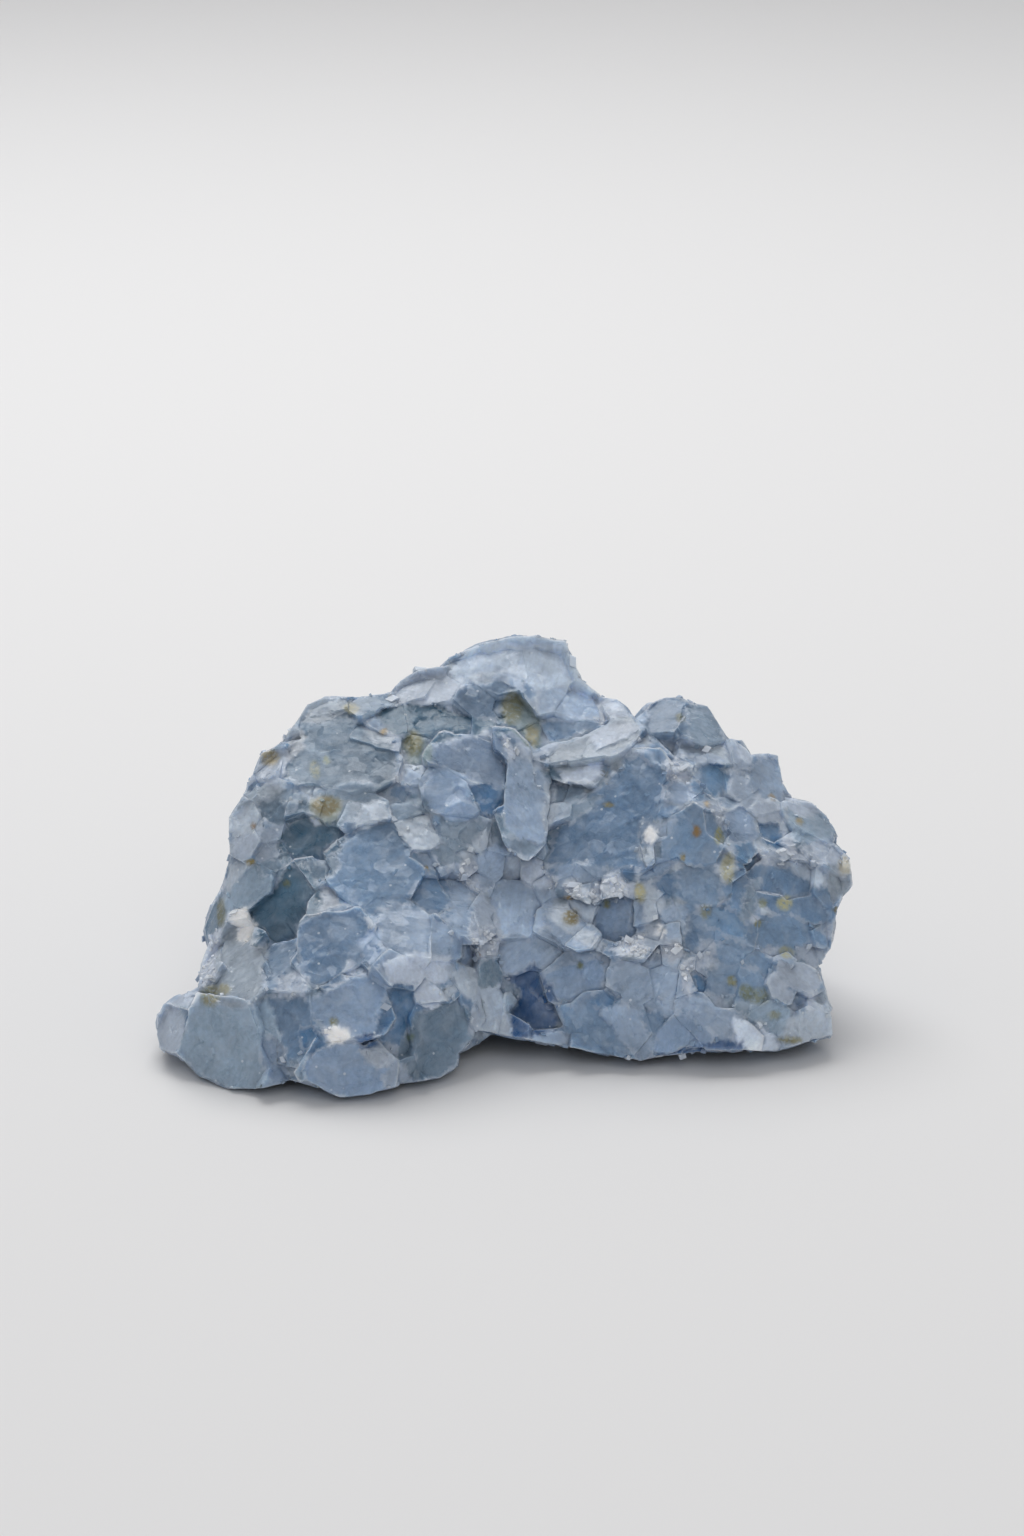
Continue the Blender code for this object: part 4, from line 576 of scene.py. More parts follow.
def spread(values, rounds, share=0.5):
    """Averages a value of the points with their neighbours' a few times."""
    values = np.array(values, float)
    links = np.bincount(ends.ravel(), minlength=len(values)).astype(float)
    links = np.maximum(links, 1.0).reshape([-1] + [1] * (values.ndim - 1))
    for _ in range(rounds):
        total = np.zeros_like(values)
        np.add.at(total, ends[:, 0], values[ends[:, 1]])
        np.add.at(total, ends[:, 1], values[ends[:, 0]])
        values = (1.0 - share) * values + share * total / links
    return values


def smooth_step(low, high, values):
    share = np.clip((values - low) / (high - low), 0.0, 1.0)
    return share * share * (3.0 - 2.0 * share)


def in_sight(points, normals):
    """How openly each point faces the eye, from 0 to 1, and 0 where another crystal hides it."""
    ways = EYE - points
    ways /= np.linalg.norm(ways, axis=1, keepdims=True)
    facing = (ways * normals).sum(axis=1)
    seen = smooth_step(EDGE_ON, FACE_ON, facing)
    for k in np.nonzero(seen > 0.0)[0]:
        way = Vector(ways[k])
        start = Vector(points[k]) + way * CLEAR_OF_FACE
        if solid_tree.ray_cast(start, way, SIGHT_REACH)[0] is not None:
            seen[k] = 0.0
    return seen


def ragged(points, size, amount):
    """A small wander that makes the crystals' outlines uneven."""
    return np.array([noise.noise_vector(Vector(p) / size) for p in points]) * amount


def inside(outline, across, height):
    """Which points lie inside an outline."""
    within = np.zeros(len(across), bool)
    x0, y0 = outline[-1]
    for x1, y1 in outline:
        cross = (y0 > height) != (y1 > height)
        slope = (x1 - x0) / (y1 - y0 if y1 != y0 else 1e-9)
        within ^= cross & (across < x0 + (height - y0) * slope)
        x0, y0 = x1, y1
    return within


def crystal_at(across, height, seeds):
    """The crystal that each place on the front belongs to."""
    region = np.full(len(across), -1)
    for k, (_, outline) in enumerate(CRYSTALS):
        region[inside(np.array(outline) / 10.0, across, height)] = k
    bare = np.nonzero(region < 0)[0]
    for part in np.array_split(bare, max(1, len(bare) // CHUNK)):
        gap = (across[part, None] - seeds[:, 0]) ** 2 + (height[part, None] - seeds[:, 1]) ** 2
        region[part] = len(CRYSTALS) + gap.argmin(axis=1)
    return region


def onto_borders(points, region, wander, seeds, free):
    """Slides points that lie beside a border onto it, and gives them to the crystal on top."""
    region, points = region.copy(), points.copy()
    pair = ends[(region[ends] >= 0).all(axis=1) & (region[ends[:, 0]] != region[ends[:, 1]])]
    first, second = pair.T
    low, high = np.zeros(len(pair)), np.ones(len(pair))
    for _ in range(BORDER_ROUNDS):
        half = (low + high)[:, None] / 2.0
        place = points[first] * (1.0 - half) + points[second] * half
        drift = wander[first] * (1.0 - half) + wander[second] * half
        across, height, _ = seen_at(place)
        same = crystal_at(across + drift[:, 0], height + drift[:, 1], seeds) == region[first]
        low, high = np.where(same, half[:, 0], low), np.where(same, high, half[:, 0])
    half = (low + high) / 2.0
    crossing = points[first] * (1.0 - half[:, None]) + points[second] * half[:, None]
    nearer = np.where(half < 0.5, first, second)
    rank = np.where(region < len(CRYSTALS), region + len(CRYSTALS) + len(seeds), region)
    on_top = np.where(rank[first] > rank[second], region[first], region[second])
    slide = np.minimum(half, 1.0 - half)
    chosen = np.nonzero((slide < BORDER_REACH) & free[nearer])[0]
    chosen = chosen[np.argsort(-slide[chosen], kind="stable")]
    points[nearer[chosen]] = crossing[chosen]
    region[nearer[chosen]] = on_top[chosen]
    return points, region


def flattened(deep, across, height, region, shades, weight):
    """The depth of every front point once each crystal's face is made flat."""
    order = np.argsort(region, kind="stable")
    starts = np.nonzero(np.diff(region[order], prepend=-1))[0]
    shift = np.zeros(len(deep))
    for group in np.split(order, starts[1:]):
        lift = SHADES[shades[region[group[0]]]][1]
        if len(group) < FEWEST_POINTS:
            shift[group] = -lift
            continue
        table = np.column_stack([np.ones(len(group)), across[group], height[group]])
        share = weight[group][:, None] + 0.02
        plane = np.linalg.lstsq(table * share, deep[group] * share[:, 0], rcond=None)[0]
        shift[group] = table @ plane - deep[group] - lift
    return np.clip(shift, -LARGEST_SHIFT, LARGEST_SHIFT) * FLATTEN


def hidden_regions(points, facets, draw):
    """Blocky crystals all over the stone, for the sides that the outlines don't cover."""
    seeds = points[draw.choice(len(points), HIDDEN_CRYSTALS, replace=False)]
    cell = np.zeros(len(points), int)
    for part in np.array_split(np.arange(len(points)), max(1, len(points) // CHUNK)):
        gap = ((points[part, None, :] - seeds) ** 2).sum(axis=2)
        cell[part] = gap.argmin(axis=1)
    _, cell = np.unique(cell + facets * HIDDEN_CRYSTALS, return_inverse=True)
    return cell


def middles(points, region, count):
    """The middle of every crystal, and one over its number of points."""
    share = 1.0 / np.maximum(np.bincount(region, minlength=count), 1)
    return np.stack([np.bincount(region, points[:, k], count) * share for k in range(3)], 1), share


draw = np.random.default_rng(SEED)
noise.seed_set(SEED)
sight = in_sight(points, normals)
front = np.nonzero(sight > 0.0)[0]
wander = sum(ragged(points, size, amount) for size, amount in WANDER)

# The front: which crystal every point belongs to.
grid = np.arange(-HALF_WIDTH, HALF_WIDTH + 1.0, FILL_STEP)
seeds = np.array([(x, y) for x in grid for y in grid if abs(y) < HALF_HEIGHT])
seeds += draw.uniform(-FILL_JITTER, FILL_JITTER, seeds.shape) * FILL_STEP
shades = [shade for shade, _ in CRYSTALS]
shades += [FILL_SHADES[i] for i in draw.integers(0, len(FILL_SHADES), len(seeds))]
across, height, _ = seen_at(points[front])
region = np.full(len(points), -1)
region[front] = crystal_at(across + wander[front, 0], height + wander[front, 1], seeds)
free = np.ones(len(points), bool)
for k in range(3):
    free[corners[face_facet != point_facet[corners[:, k]], k]] = False
points, region = onto_borders(points, region, wander, seeds, free)
front_region = region[front]

# How far each front point moves towards or away from the eye.
across, height, deep = seen_at(points)
weight = spread(sight, 2)
move = np.zeros(len(points))
move[front] = flattened(deep[front], across[front], height[front], front_region, shades,
                        sight[front])
move = spread(move, 1) * weight

# The other sides: their crystals, and how far each point moves out or in.
region = hidden_regions(points + wander * MM, point_facet, draw)
hidden_count = region.max() + 1
first_hidden = len(shades)
region += first_hidden
shades += [UNSEEN_SHADES[i] for i in draw.integers(0, len(UNSEEN_SHADES), hidden_count)]
region[front] = front_region
heart, _ = middles(points, region, len(shades))
lean_of = draw.uniform(-HIDDEN_LEAN, HIDDEN_LEAN, (len(shades), 3))
rise_of = draw.uniform(-HIDDEN_STEP, HIDDEN_STEP, len(shades))
rise = rise_of[region] + ((points - heart[region]) * lean_of[region]).sum(axis=1)
rise = spread(np.clip(rise, -2.0 * HIDDEN_STEP, 2.0 * HIDDEN_STEP), 1) * (1.0 - weight)
rise *= smooth_step(*FOOT_FADE, points[:, 2])
points = EYE + (points - EYE) * (1.0 + move / deep)[:, None]
points += normals * rise[:, None]

shade_colours = {name: linear(value[0]) for name, value in SHADES.items()}
tone_of = np.array([shade_colours[name] for name in shades])
tone_of *= draw.uniform(1.0 - SHADE_CHANGE, 1.0 + SHADE_CHANGE, (len(shades), 1))
frost_of = np.array([SHADES[name][2] for name in shades])
frost_of[first_hidden:] *= HIDDEN_FROST
axis_of = draw.normal(size=(len(shades), 3))
axis_of /= np.linalg.norm(axis_of, axis=1, keepdims=True)
border = np.zeros(len(points))
border[ends[region[ends[:, 0]] != region[ends[:, 1]]].ravel()] = 1.0


def store(name, values):
    kind = "FLOAT_VECTOR" if values.ndim == 2 else "FLOAT"
    layer = mesh.attributes.new(name, kind, "POINT")
    field = "vector" if values.ndim == 2 else "value"
    layer.data.foreach_set(field, np.ascontiguousarray(values, dtype=np.float32).ravel())


# Inside each crystal the milkiness grows towards one side, and neighbours shine through a little.
SIDE_MILK = 0.13
SHINE_THROUGH = 0.33
SHINE_ROUNDS = 6
heart, share = middles(points, region, len(shades))
away = points - heart[region]
reach = np.sqrt(np.bincount(region, (away ** 2).sum(axis=1), len(shades)) * share) + 1e-9
lean = (away * axis_of[region]).sum(axis=1) / reach[region]
tone = tone_of[region] * (1.0 + SIDE_MILK * np.clip(lean, -1.5, 1.5))[:, None]
tone = (1.0 - SHINE_THROUGH) * tone + SHINE_THROUGH * spread(tone, SHINE_ROUNDS)
store("tone", tone)
store("frost", spread(frost_of[region], 1))
store("axis", axis_of[region])
store("border", border)
store("rest", points)

# Specks of ochre, olive and cream that lie in or on the crystals, each with its place across and
# up in millimetres, its half width and half height, and its colour.
STAINS = [
    (19.7, 6.9, 0.45, 0.6, "#8a6a2a"), (22.8, 3.2, 0.75, 1.4, "#b5b49a"),
    (28.5, -0.3, 0.75, 0.75, "#b9b78f"), (22.0, 6.5, 0.45, 1.0, "#9a9868"),
    (18.3, 4.2, 0.35, 0.45, "#8f8560"), (14.0, 0.7, 0.55, 0.9, "#b8b287"),
    (7.1, -1.7, 0.9, 0.8, "#87794a"), (6.8, 0.2, 0.5, 0.25, "#8f7440"),
    (10.6, -0.4, 0.4, 0.45, "#8c8d6a"), (8.0, -6.5, 0.35, 0.35, "#6f7650"),
    (23.2, -8.1, 0.5, 0.5, "#7f7f52"), (24.6, -9.2, 0.7, 0.8, "#67735a"),
    (25.8, -9.6, 1.1, 0.8, "#7d8677"), (28.7, -5.3, 0.7, 0.6, "#a9a888"),
    (34.5, 3.5, 0.7, 1.0, "#b3afa0"), (-17.4, 9.4, 1.4, 1.0, "#8d8260"),
    (-18.5, 13.0, 0.5, 0.9, "#93998a"), (-17.3, 14.0, 0.35, 0.45, "#8f9a88"),
    (-23.0, 14.2, 0.9, 0.8, "#a39a80"), (-8.6, 15.6, 0.9, 1.2, "#7c7a58"),
    (1.2, 19.2, 1.1, 1.6, "#7f8068"), (3.2, 16.4, 0.7, 1.1, "#a09c80"),
    (-16.6, -12.1, 0.45, 0.4, "#86855f"), (-29.0, -9.5, 1.0, 1.0, "#8f8c70"),
    (-27.6, -9.0, 0.7, 0.5, "#9c9a84"), (-9.0, -13.7, 0.4, 0.4, "#5d6e62"),
    (-2.1, -5.6, 0.3, 0.22, "#a3662c"), (-24.7, 7.4, 0.3, 0.25, "#8f6f40"),
    (-24.9, 3.9, 0.4, 0.3, "#a08a3a"), (-7.4, 3.1, 0.25, 0.2, "#9a8238"),
    (-27.9, -1.2, 0.5, 1.3, "#6d705a"), (-14.9, 19.1, 0.8, 0.5, "#a9a792"),
    (-11.6, 16.8, 0.4, 0.35, "#b3a07c"), (20.7, 9.6, 0.3, 0.3, "#a8987c"),
    (18.0, 18.2, 0.4, 0.5, "#6f7668"), (10.5, 12.7, 0.35, 0.35, "#7f7a5e"),
    (10.9, 9.5, 0.6, 0.25, "#8a8156"), (-21.3, 1.6, 0.4, 0.4, "#6b735c"),
    (30.0, 7.9, 0.4, 0.4, "#a3997a"), (27.3, 10.3, 0.35, 0.35, "#a79a84"),
    (29.0, -14.0, 1.2, 0.3, "#8f8c6c"), (20.5, -1.2, 0.5, 0.7, "#8a9080"),
    (26.2, -0.3, 0.4, 0.5, "#8f967f"), (25.7, -2.4, 0.3, 0.4, "#86855c"),
    (33.5, -1.0, 0.3, 0.3, "#6f6640"), (27.5, -11.5, 0.6, 0.5, "#93998c"),
]


def stains(across, height):
    """How strongly each front point is stained, and its stain's colour."""
    amount = np.zeros(len(across))
    colour = np.zeros((len(across), 3))
    for x, y, wide, tall, code in STAINS:
        gap = np.hypot((across - x) / wide, (height - y) / tall)
        here = 1.0 - smooth_step(0.65, 1.35, gap)
        colour = np.where((here > amount)[:, None], linear(code), colour)
        amount = np.maximum(amount, here)
    return amount, colour


stain = np.zeros(len(points))
stain_tone = np.zeros((len(points), 3))
stain[front], stain_tone[front] = stains(
    across[front] + wander[front, 1] * 0.6, height[front] + wander[front, 2] * 0.6)
store("stain", stain)
store("stain_tone", stain_tone)
mesh.vertices.foreach_set("co", spread(points, 1, 0.2).ravel())
mesh.attributes.remove(mesh.attributes["facet"])
mesh.update()
body = bpy.data.objects.new("calcite_body", mesh)
bpy.context.scene.collection.objects.link(body)


# The small relief. Cleavage leaves low steps and slightly tilted chips inside each face, and the
# crushed places break up into crumbs. It follows the whole surface by one rule.

def put(tree, kind, inputs=None, **settings):
    """A node, with its settings and with its inputs linked or set."""
    node = tree.nodes.new(kind)
    for name, value in settings.items():
        setattr(node, name, value)
    for name, value in (inputs or {}).items():
        if isinstance(value, bpy.types.NodeSocket):
            tree.links.new(value, node.inputs[name])
        else:
            node.inputs[name].default_value = value
    return node


def sum_of(tree, operation, first, second=0.0, kind="ShaderNodeMath"):
    """A sum of two numbers or vectors, each a socket or a plain value."""
    node = put(tree, kind, operation=operation)
    for socket, value in zip(node.inputs, (first, second)):
        if isinstance(value, bpy.types.NodeSocket):
            tree.links.new(value, socket)
        elif kind == "ShaderNodeMath" or not isinstance(value, float):
            socket.default_value = value
    return node.outputs[1] if operation == "DOT_PRODUCT" else node.outputs[0]


def vector_sum(tree, operation, first, second):
    return sum_of(tree, operation, first, second, kind="ShaderNodeVectorMath")


def scaled(tree, vector, factor):
    node = put(tree, "ShaderNodeVectorMath", {"Vector": vector, "Scale": factor},
               operation="SCALE")
    return node.outputs[0]


def named(tree, name, kind):
    return put(tree, "GeometryNodeInputNamedAttribute", {"Name": name},
               data_type=kind).outputs[0]


def chips(tree, place, size):
    """How high flat chips stand that each lean their own way."""
    inverse = sum_of(tree, "DIVIDE", 1.0, size)
    cell = put(tree, "ShaderNodeTexVoronoi", {"Vector": place, "Scale": inverse})
    lean = vector_sum(tree, "SUBTRACT", cell.outputs["Color"], (0.5, 0.5, 0.5))
    reach = vector_sum(tree, "SUBTRACT", place, cell.outputs["Position"])
    return vector_sum(tree, "DOT_PRODUCT", lean, reach)


# Waves over the whole face, tilted chips, crumbs in the crushed places, and cleavage steps. An
# edge that bends by more than the crease angle stays sharp.
RELIEF = {
    "Wave Height": 0.10 * MM, "Wave Size": 5.0 * MM, "Chip Size": 2.8 * MM, "Chip Lean": 0.09,
    "Crumb Size": 1.0 * MM, "Crumb Lean": 0.5, "Step Height": 0.05 * MM,
    "Step Length": 0.9 * MM, "Crease Angle": math.radians(26),
    "Warp": 1.6 * MM,
}


def relief_tree(material):
    tree = bpy.data.node_groups.new("crystal_relief", "GeometryNodeTree")
    face = tree.interface
    face.new_socket("Geometry", in_out="INPUT", socket_type="NodeSocketGeometry")
    face.new_socket("Geometry", in_out="OUTPUT", socket_type="NodeSocketGeometry")
    for name in RELIEF:
        face.new_socket(name, in_out="INPUT", socket_type="NodeSocketFloat")
    entry = put(tree, "NodeGroupInput").outputs
    rest = named(tree, "rest", "FLOAT_VECTOR")
    frost = named(tree, "frost", "FLOAT")
    axis = named(tree, "axis", "FLOAT_VECTOR")
    normal = put(tree, "GeometryNodeInputNormal").outputs[0]
    wave_scale = sum_of(tree, "DIVIDE", 1.0, entry["Wave Size"])
    wave = put(tree, "ShaderNodeTexNoise", {
        "Vector": rest, "Scale": wave_scale, "Detail": 3.0, "Roughness": 0.55,
    }).outputs["Color"]
    wave = vector_sum(tree, "SUBTRACT", wave, (0.5, 0.5, 0.5))
    bend = scaled(tree, wave, sum_of(tree, "MULTIPLY", entry["Wave Height"], 2.0))
    warped = vector_sum(tree, "ADD", rest, scaled(tree, wave, entry["Warp"]))
    chip = sum_of(tree, "MULTIPLY", chips(tree, warped, entry["Chip Size"]), entry["Chip Lean"])
    crumb = chips(tree, warped, entry["Crumb Size"])
    crumb = sum_of(tree, "MULTIPLY", crumb, entry["Crumb Lean"])
    crumb = sum_of(tree, "MULTIPLY", crumb, frost)
    along = vector_sum(tree, "DOT_PRODUCT", warped, axis)
    turns = sum_of(tree, "DIVIDE", along, entry["Step Length"])
    step = sum_of(tree, "PINGPONG", turns, 1.0)
    step = sum_of(tree, "MULTIPLY", step, entry["Step Height"])
    rise = sum_of(tree, "ADD", sum_of(tree, "ADD", chip, crumb), step)
    offset = vector_sum(tree, "ADD", bend, scaled(tree, normal, rise))
    moved = put(tree, "GeometryNodeSetPosition", {
        "Geometry": entry["Geometry"], "Offset": offset,
    })
    place = put(tree, "GeometryNodeInputPosition").outputs[0]
    parts = put(tree, "ShaderNodeSeparateXYZ", {"Vector": place}).outputs
    level = sum_of(tree, "MAXIMUM", parts["Z"], 0.0)
    level = put(tree, "ShaderNodeCombineXYZ", {"X": parts["X"], "Y": parts["Y"], "Z": level})
    stood = put(tree, "GeometryNodeSetPosition", {
        "Geometry": moved.outputs[0], "Position": level.outputs[0],
    })
    smooth = put(tree, "GeometryNodeSetShadeSmooth", {"Geometry": stood.outputs[0]})
    bend_at = put(tree, "GeometryNodeInputMeshEdgeAngle").outputs["Unsigned Angle"]
    creased = put(tree, "GeometryNodeSetShadeSmooth", {
        "Geometry": smooth.outputs[0], "Shade Smooth": False,
        "Selection": sum_of(tree, "GREATER_THAN", bend_at, entry["Crease Angle"]),
    }, domain="EDGE")
    whole = put(tree, "GeometryNodeRealizeInstances", {"Geometry": creased.outputs[0]})
    dressed = put(tree, "GeometryNodeSetMaterial", {
        "Geometry": whole.outputs[0], "Material": material,
    })
    put(tree, "NodeGroupOutput", {"Geometry": dressed.outputs[0]})
    return tree


def apply_tree(thing, tree, values):
    """Runs a node tree on an object and leaves the result as its plain mesh."""
    change = thing.modifiers.new(tree.name, "NODES")
    change.node_group = tree
    for item in tree.interface.items_tree:
        if item.in_out == "INPUT" and item.name in values:
            change[item.identifier] = values[item.name]
    graph = bpy.context.evaluated_depsgraph_get()
    made = bpy.data.meshes.new_from_object(
        thing.evaluated_get(graph), preserve_all_data_layers=True, depsgraph=graph)
    thing.modifiers.clear()
    made.name = thing.name
    thing.data = made


# The look of the calcite: milky and faintly clear, so light goes a little way in. Cloudy veils and fine
# streaks run inside it, and its crushed places are white. Its broken edges are whitened, partly their
# own frost and partly a painted glow of light along them, and small white dots over it are painted
# glints of light.

VEIL_WHITE = "#b4bfcd"
# The whitening of the broken edges, partly frost and partly a painted glow of light.
EDGE_FROST_AND_GLOW_WHITE = "#bcc5d1"
CRUSHED_WHITE = "#ccd2db"
# The colour of the painted glints of light.
PAINTED_GLINT_WHITE = "#dfe5ea"
CLOUD_SIZE = 3.2 * MM
STREAK_SIZE = 0.45 * MM
STREAK_STRETCH = 0.88
SPECKLE_SIZE = 0.35 * MM
VEIL_SIZE = 2.2 * MM
EDGE_PATCH_SIZE = 1.4 * MM
CRUMB_SIZE = 0.5 * MM
PAINTED_GLINT_SPACING = 1.4 * MM
STAIN_GRAIN = 0.4 * MM
BEND_SIZE, BEND = 1.5 * MM, 0.9 * MM
FACE_SIZE, FACE_LEAN = 1.4 * MM, 0.28
SPLINTER_SIZE, SPLINTER_LEAN = 0.45 * MM, 0.3
SCRATCH_SIZE, SCRATCH_HEIGHT = 0.25 * MM, 0.012 * MM
CALCITE_IOR = 1.5
LIGHT_DEPTH = 1.5 * MM
LIGHT_COLOURS = (1.0, 1.05, 1.15)


def attribute(tree, name):
    return put(tree, "ShaderNodeAttribute", attribute_name=name)


def ramp(tree, value, low, high, start=0.0, end=1.0):
    node = put(tree, "ShaderNodeMapRange", {
        "Value": value, "From Min": low, "From Max": high, "To Min": start, "To Max": end,
    }, interpolation_type="SMOOTHSTEP")
    return node.outputs[0]


def blend(tree, share, first, second):
    node = put(tree, "ShaderNodeMix", data_type="RGBA")
    for index, value in ((0, share), (6, first), (7, second)):
        if isinstance(value, bpy.types.NodeSocket):
            tree.links.new(value, node.inputs[index])
        else:
            node.inputs[index].default_value = value
    return node.outputs[2]


def rgba(code):
    return (*linear(code), 1.0)


def grain(tree, place, size, detail=3.0, roughness=0.55, distortion=0.0):
    return put(tree, "ShaderNodeTexNoise", {
        "Vector": place, "Scale": 1.0 / size, "Detail": detail, "Roughness": roughness,
        "Distortion": distortion,
    }).outputs[0]


def calcite_material():
    material = bpy.data.materials.new("milky_blue_calcite")
    material.use_nodes = True
    tree = material.node_tree
    tree.nodes.clear()
    rest = attribute(tree, "rest").outputs["Vector"]
    axis = attribute(tree, "axis").outputs["Vector"]
    frost = attribute(tree, "frost").outputs["Fac"]
    border = attribute(tree, "border").outputs["Fac"]
    colour = attribute(tree, "tone").outputs["Color"]

    along = vector_sum(tree, "DOT_PRODUCT", rest, axis)
    back = scaled(tree, axis, sum_of(tree, "MULTIPLY", along, STREAK_STRETCH))
    drawn_out = vector_sum(tree, "SUBTRACT", rest, back)
    cloud = ramp(tree, grain(tree, rest, CLOUD_SIZE, 4.0, 0.6, 0.6), 0.3, 0.7, 0.89, 1.11)
    streak = ramp(tree, grain(tree, drawn_out, STREAK_SIZE, 3.0), 0.3, 0.7, 0.93, 1.07)
    speckle = ramp(tree, grain(tree, rest, SPECKLE_SIZE, 4.0), 0.3, 0.7, 0.95, 1.05)
    light = sum_of(tree, "MULTIPLY", sum_of(tree, "MULTIPLY", cloud, streak), speckle)
    colour = scaled(tree, colour, light)

    veil = grain(tree, rest, VEIL_SIZE, 4.0, 0.58, 0.6)
    colour = blend(tree, ramp(tree, veil, 0.42, 0.80, 0.0, 0.36), colour, rgba(VEIL_WHITE))
    # Along the crystal borders the colour turns whiter in patches: partly the frost of the broken
    # edges, partly painted light, a glow along the edges that also lightens the shade in the joints.
    patchy = ramp(tree, grain(tree, rest, EDGE_PATCH_SIZE, 3.0, 0.6), 0.42, 0.60)
    patchy = ramp(tree, patchy, 0.0, 1.0, 0.03, 0.36)
    edge = sum_of(tree, "MULTIPLY", ramp(tree, border, 0.3, 1.0), patchy)
    colour = blend(tree, edge, colour, rgba(EDGE_FROST_AND_GLOW_WHITE))
    crumbs = ramp(tree, grain(tree, rest, CRUMB_SIZE, 4.0, 0.65), 0.35, 0.6)
    white = sum_of(tree, "MULTIPLY", sum_of(tree, "MULTIPLY", frost, crumbs), 0.75)
    colour = blend(tree, white, colour, rgba(CRUSHED_WHITE))
    # Painted highlights: small white dots on about half of the cells stand in for glints of light off
    # tiny faces.
    cell = put(tree, "ShaderNodeTexVoronoi", {"Vector": rest, "Scale": 1.0 / PAINTED_GLINT_SPACING}).outputs
    dot = ramp(tree, cell["Distance"], 0.07, 0.12, 1.0, 0.0)
    chosen = put(tree, "ShaderNodeSeparateColor", {"Color": cell["Color"]}).outputs[0]
    dot = sum_of(tree, "MULTIPLY", dot, sum_of(tree, "GREATER_THAN", chosen, 0.55))
    colour = blend(tree, sum_of(tree, "MULTIPLY", dot, 0.55), colour, rgba(PAINTED_GLINT_WHITE))
    stain = attribute(tree, "stain").outputs["Fac"]
    broken = ramp(tree, grain(tree, rest, STAIN_GRAIN, 3.0), 0.3, 0.55, 0.35, 0.9)
    colour = blend(tree, sum_of(tree, "MULTIPLY", stain, broken), colour,
                   attribute(tree, "stain_tone").outputs["Color"])

    way = put(tree, "ShaderNodeTexNoise", {"Vector": rest, "Scale": 1.0 / BEND_SIZE})
    bent = vector_sum(tree, "ADD", rest, scaled(tree, way.outputs["Color"], BEND))
    faces = sum_of(tree, "MULTIPLY", chips(tree, bent, FACE_SIZE), FACE_LEAN)
    splinters = sum_of(tree, "MULTIPLY", chips(tree, bent, SPLINTER_SIZE), SPLINTER_LEAN)
    splinters = sum_of(tree, "MULTIPLY", splinters, ramp(tree, frost, 0.05, 0.7, 0.2, 1.5))
    scratches = grain(tree, drawn_out, SCRATCH_SIZE, 4.0, 0.65)
    scratches = sum_of(tree, "MULTIPLY", scratches, SCRATCH_HEIGHT)
    height = sum_of(tree, "ADD", sum_of(tree, "ADD", faces, splinters), scratches)
    bump = put(tree, "ShaderNodeBump", {"Height": height, "Strength": 1.0, "Distance": 1.0})
    rough = sum_of(tree, "ADD", ramp(tree, veil, 0.3, 0.7, 0.22, 0.42),
                   sum_of(tree, "MULTIPLY", frost, 0.2))
    skin = put(tree, "ShaderNodeBsdfPrincipled", {
        "Base Color": colour, "Roughness": rough, "Normal": bump.outputs[0],
        "IOR": CALCITE_IOR, "Subsurface Weight": 0.8, "Subsurface Radius": LIGHT_COLOURS,
        "Subsurface Scale": LIGHT_DEPTH,
    })
    put(tree, "ShaderNodeOutputMaterial", {"Surface": skin.outputs[0]})
    return material


calcite = calcite_material()
apply_tree(body, relief_tree(calcite), RELIEF)
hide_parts("calcite_stone")
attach(body, "root")


# The small crystals. Blocks and grains of the same calcite, loosened along its cleavage when the
# lump was broken, still stick in the crushed places and along the joints between the crystals.
# They are slanted little boxes, grown into the surface for half their height.

GRAIN_WHITE = "#dfe5ed"
GRAIN_IOR = 1.55
GRAIN_LIGHT_DEPTH = 0.5 * MM
JOINT_SHARE = 0.12
JOINT_PATCH_SIZE = 2.0 * MM
SLANT = (0.27, 0.2)

# How far a grain is tipped and turned, in radians, and how its width, its thickness and its size
# as a whole may differ from the others'.
GRAIN_TURN = (0.5, 0.5, 3.2)
GRAIN_WIDTH = (0.45, 1.3)
GRAIN_THICKEST = 1.8
GRAIN_RANGE = (0.5, 1.25)
GRAIN_FLAT, BLOCK_FLAT = 0.4, 0.3

GRAINS = {
    "Grain Density": 2.2 / MM ** 2, "Grain Size": 0.45 * MM,
    "Block Density": 0.10 / MM ** 2, "Block Size": 1.0 * MM, "Lowest": 1.0 * MM, "Seed": 4,
}


def slanted_box(tree):
    """One cleavage block of calcite, a box pushed out of square."""
    box = put(tree, "GeometryNodeMeshCube", {"Size": (1.0, 1.0, 1.0)}).outputs[0]
    place = put(tree, "GeometryNodeInputPosition").outputs[0]
    parts = put(tree, "ShaderNodeSeparateXYZ", {"Vector": place}).outputs
    slant = sum_of(tree, "MULTIPLY", parts["Y"], SLANT[0])
    push = put(tree, "ShaderNodeCombineXYZ", {
        "X": slant, "Y": sum_of(tree, "MULTIPLY", parts["Z"], SLANT[1]),
    })
    return put(tree, "GeometryNodeSetPosition", {
        "Geometry": box, "Offset": push.outputs[0],
    }).outputs[0]


def drawn(tree, kind, low, high, seed, number):
    """A random number or vector for every grain."""
    node = put(tree, "FunctionNodeRandomValue", data_type=kind)
    first = {"FLOAT_VECTOR": 0, "FLOAT": 2}[kind]
    node.inputs[first].default_value = low
    node.inputs[first + 1].default_value = high
    tree.links.new(sum_of(tree, "ADD", seed, float(number)), node.inputs["Seed"])
    return node.outputs[{"FLOAT_VECTOR": 0, "FLOAT": 1}[kind]]


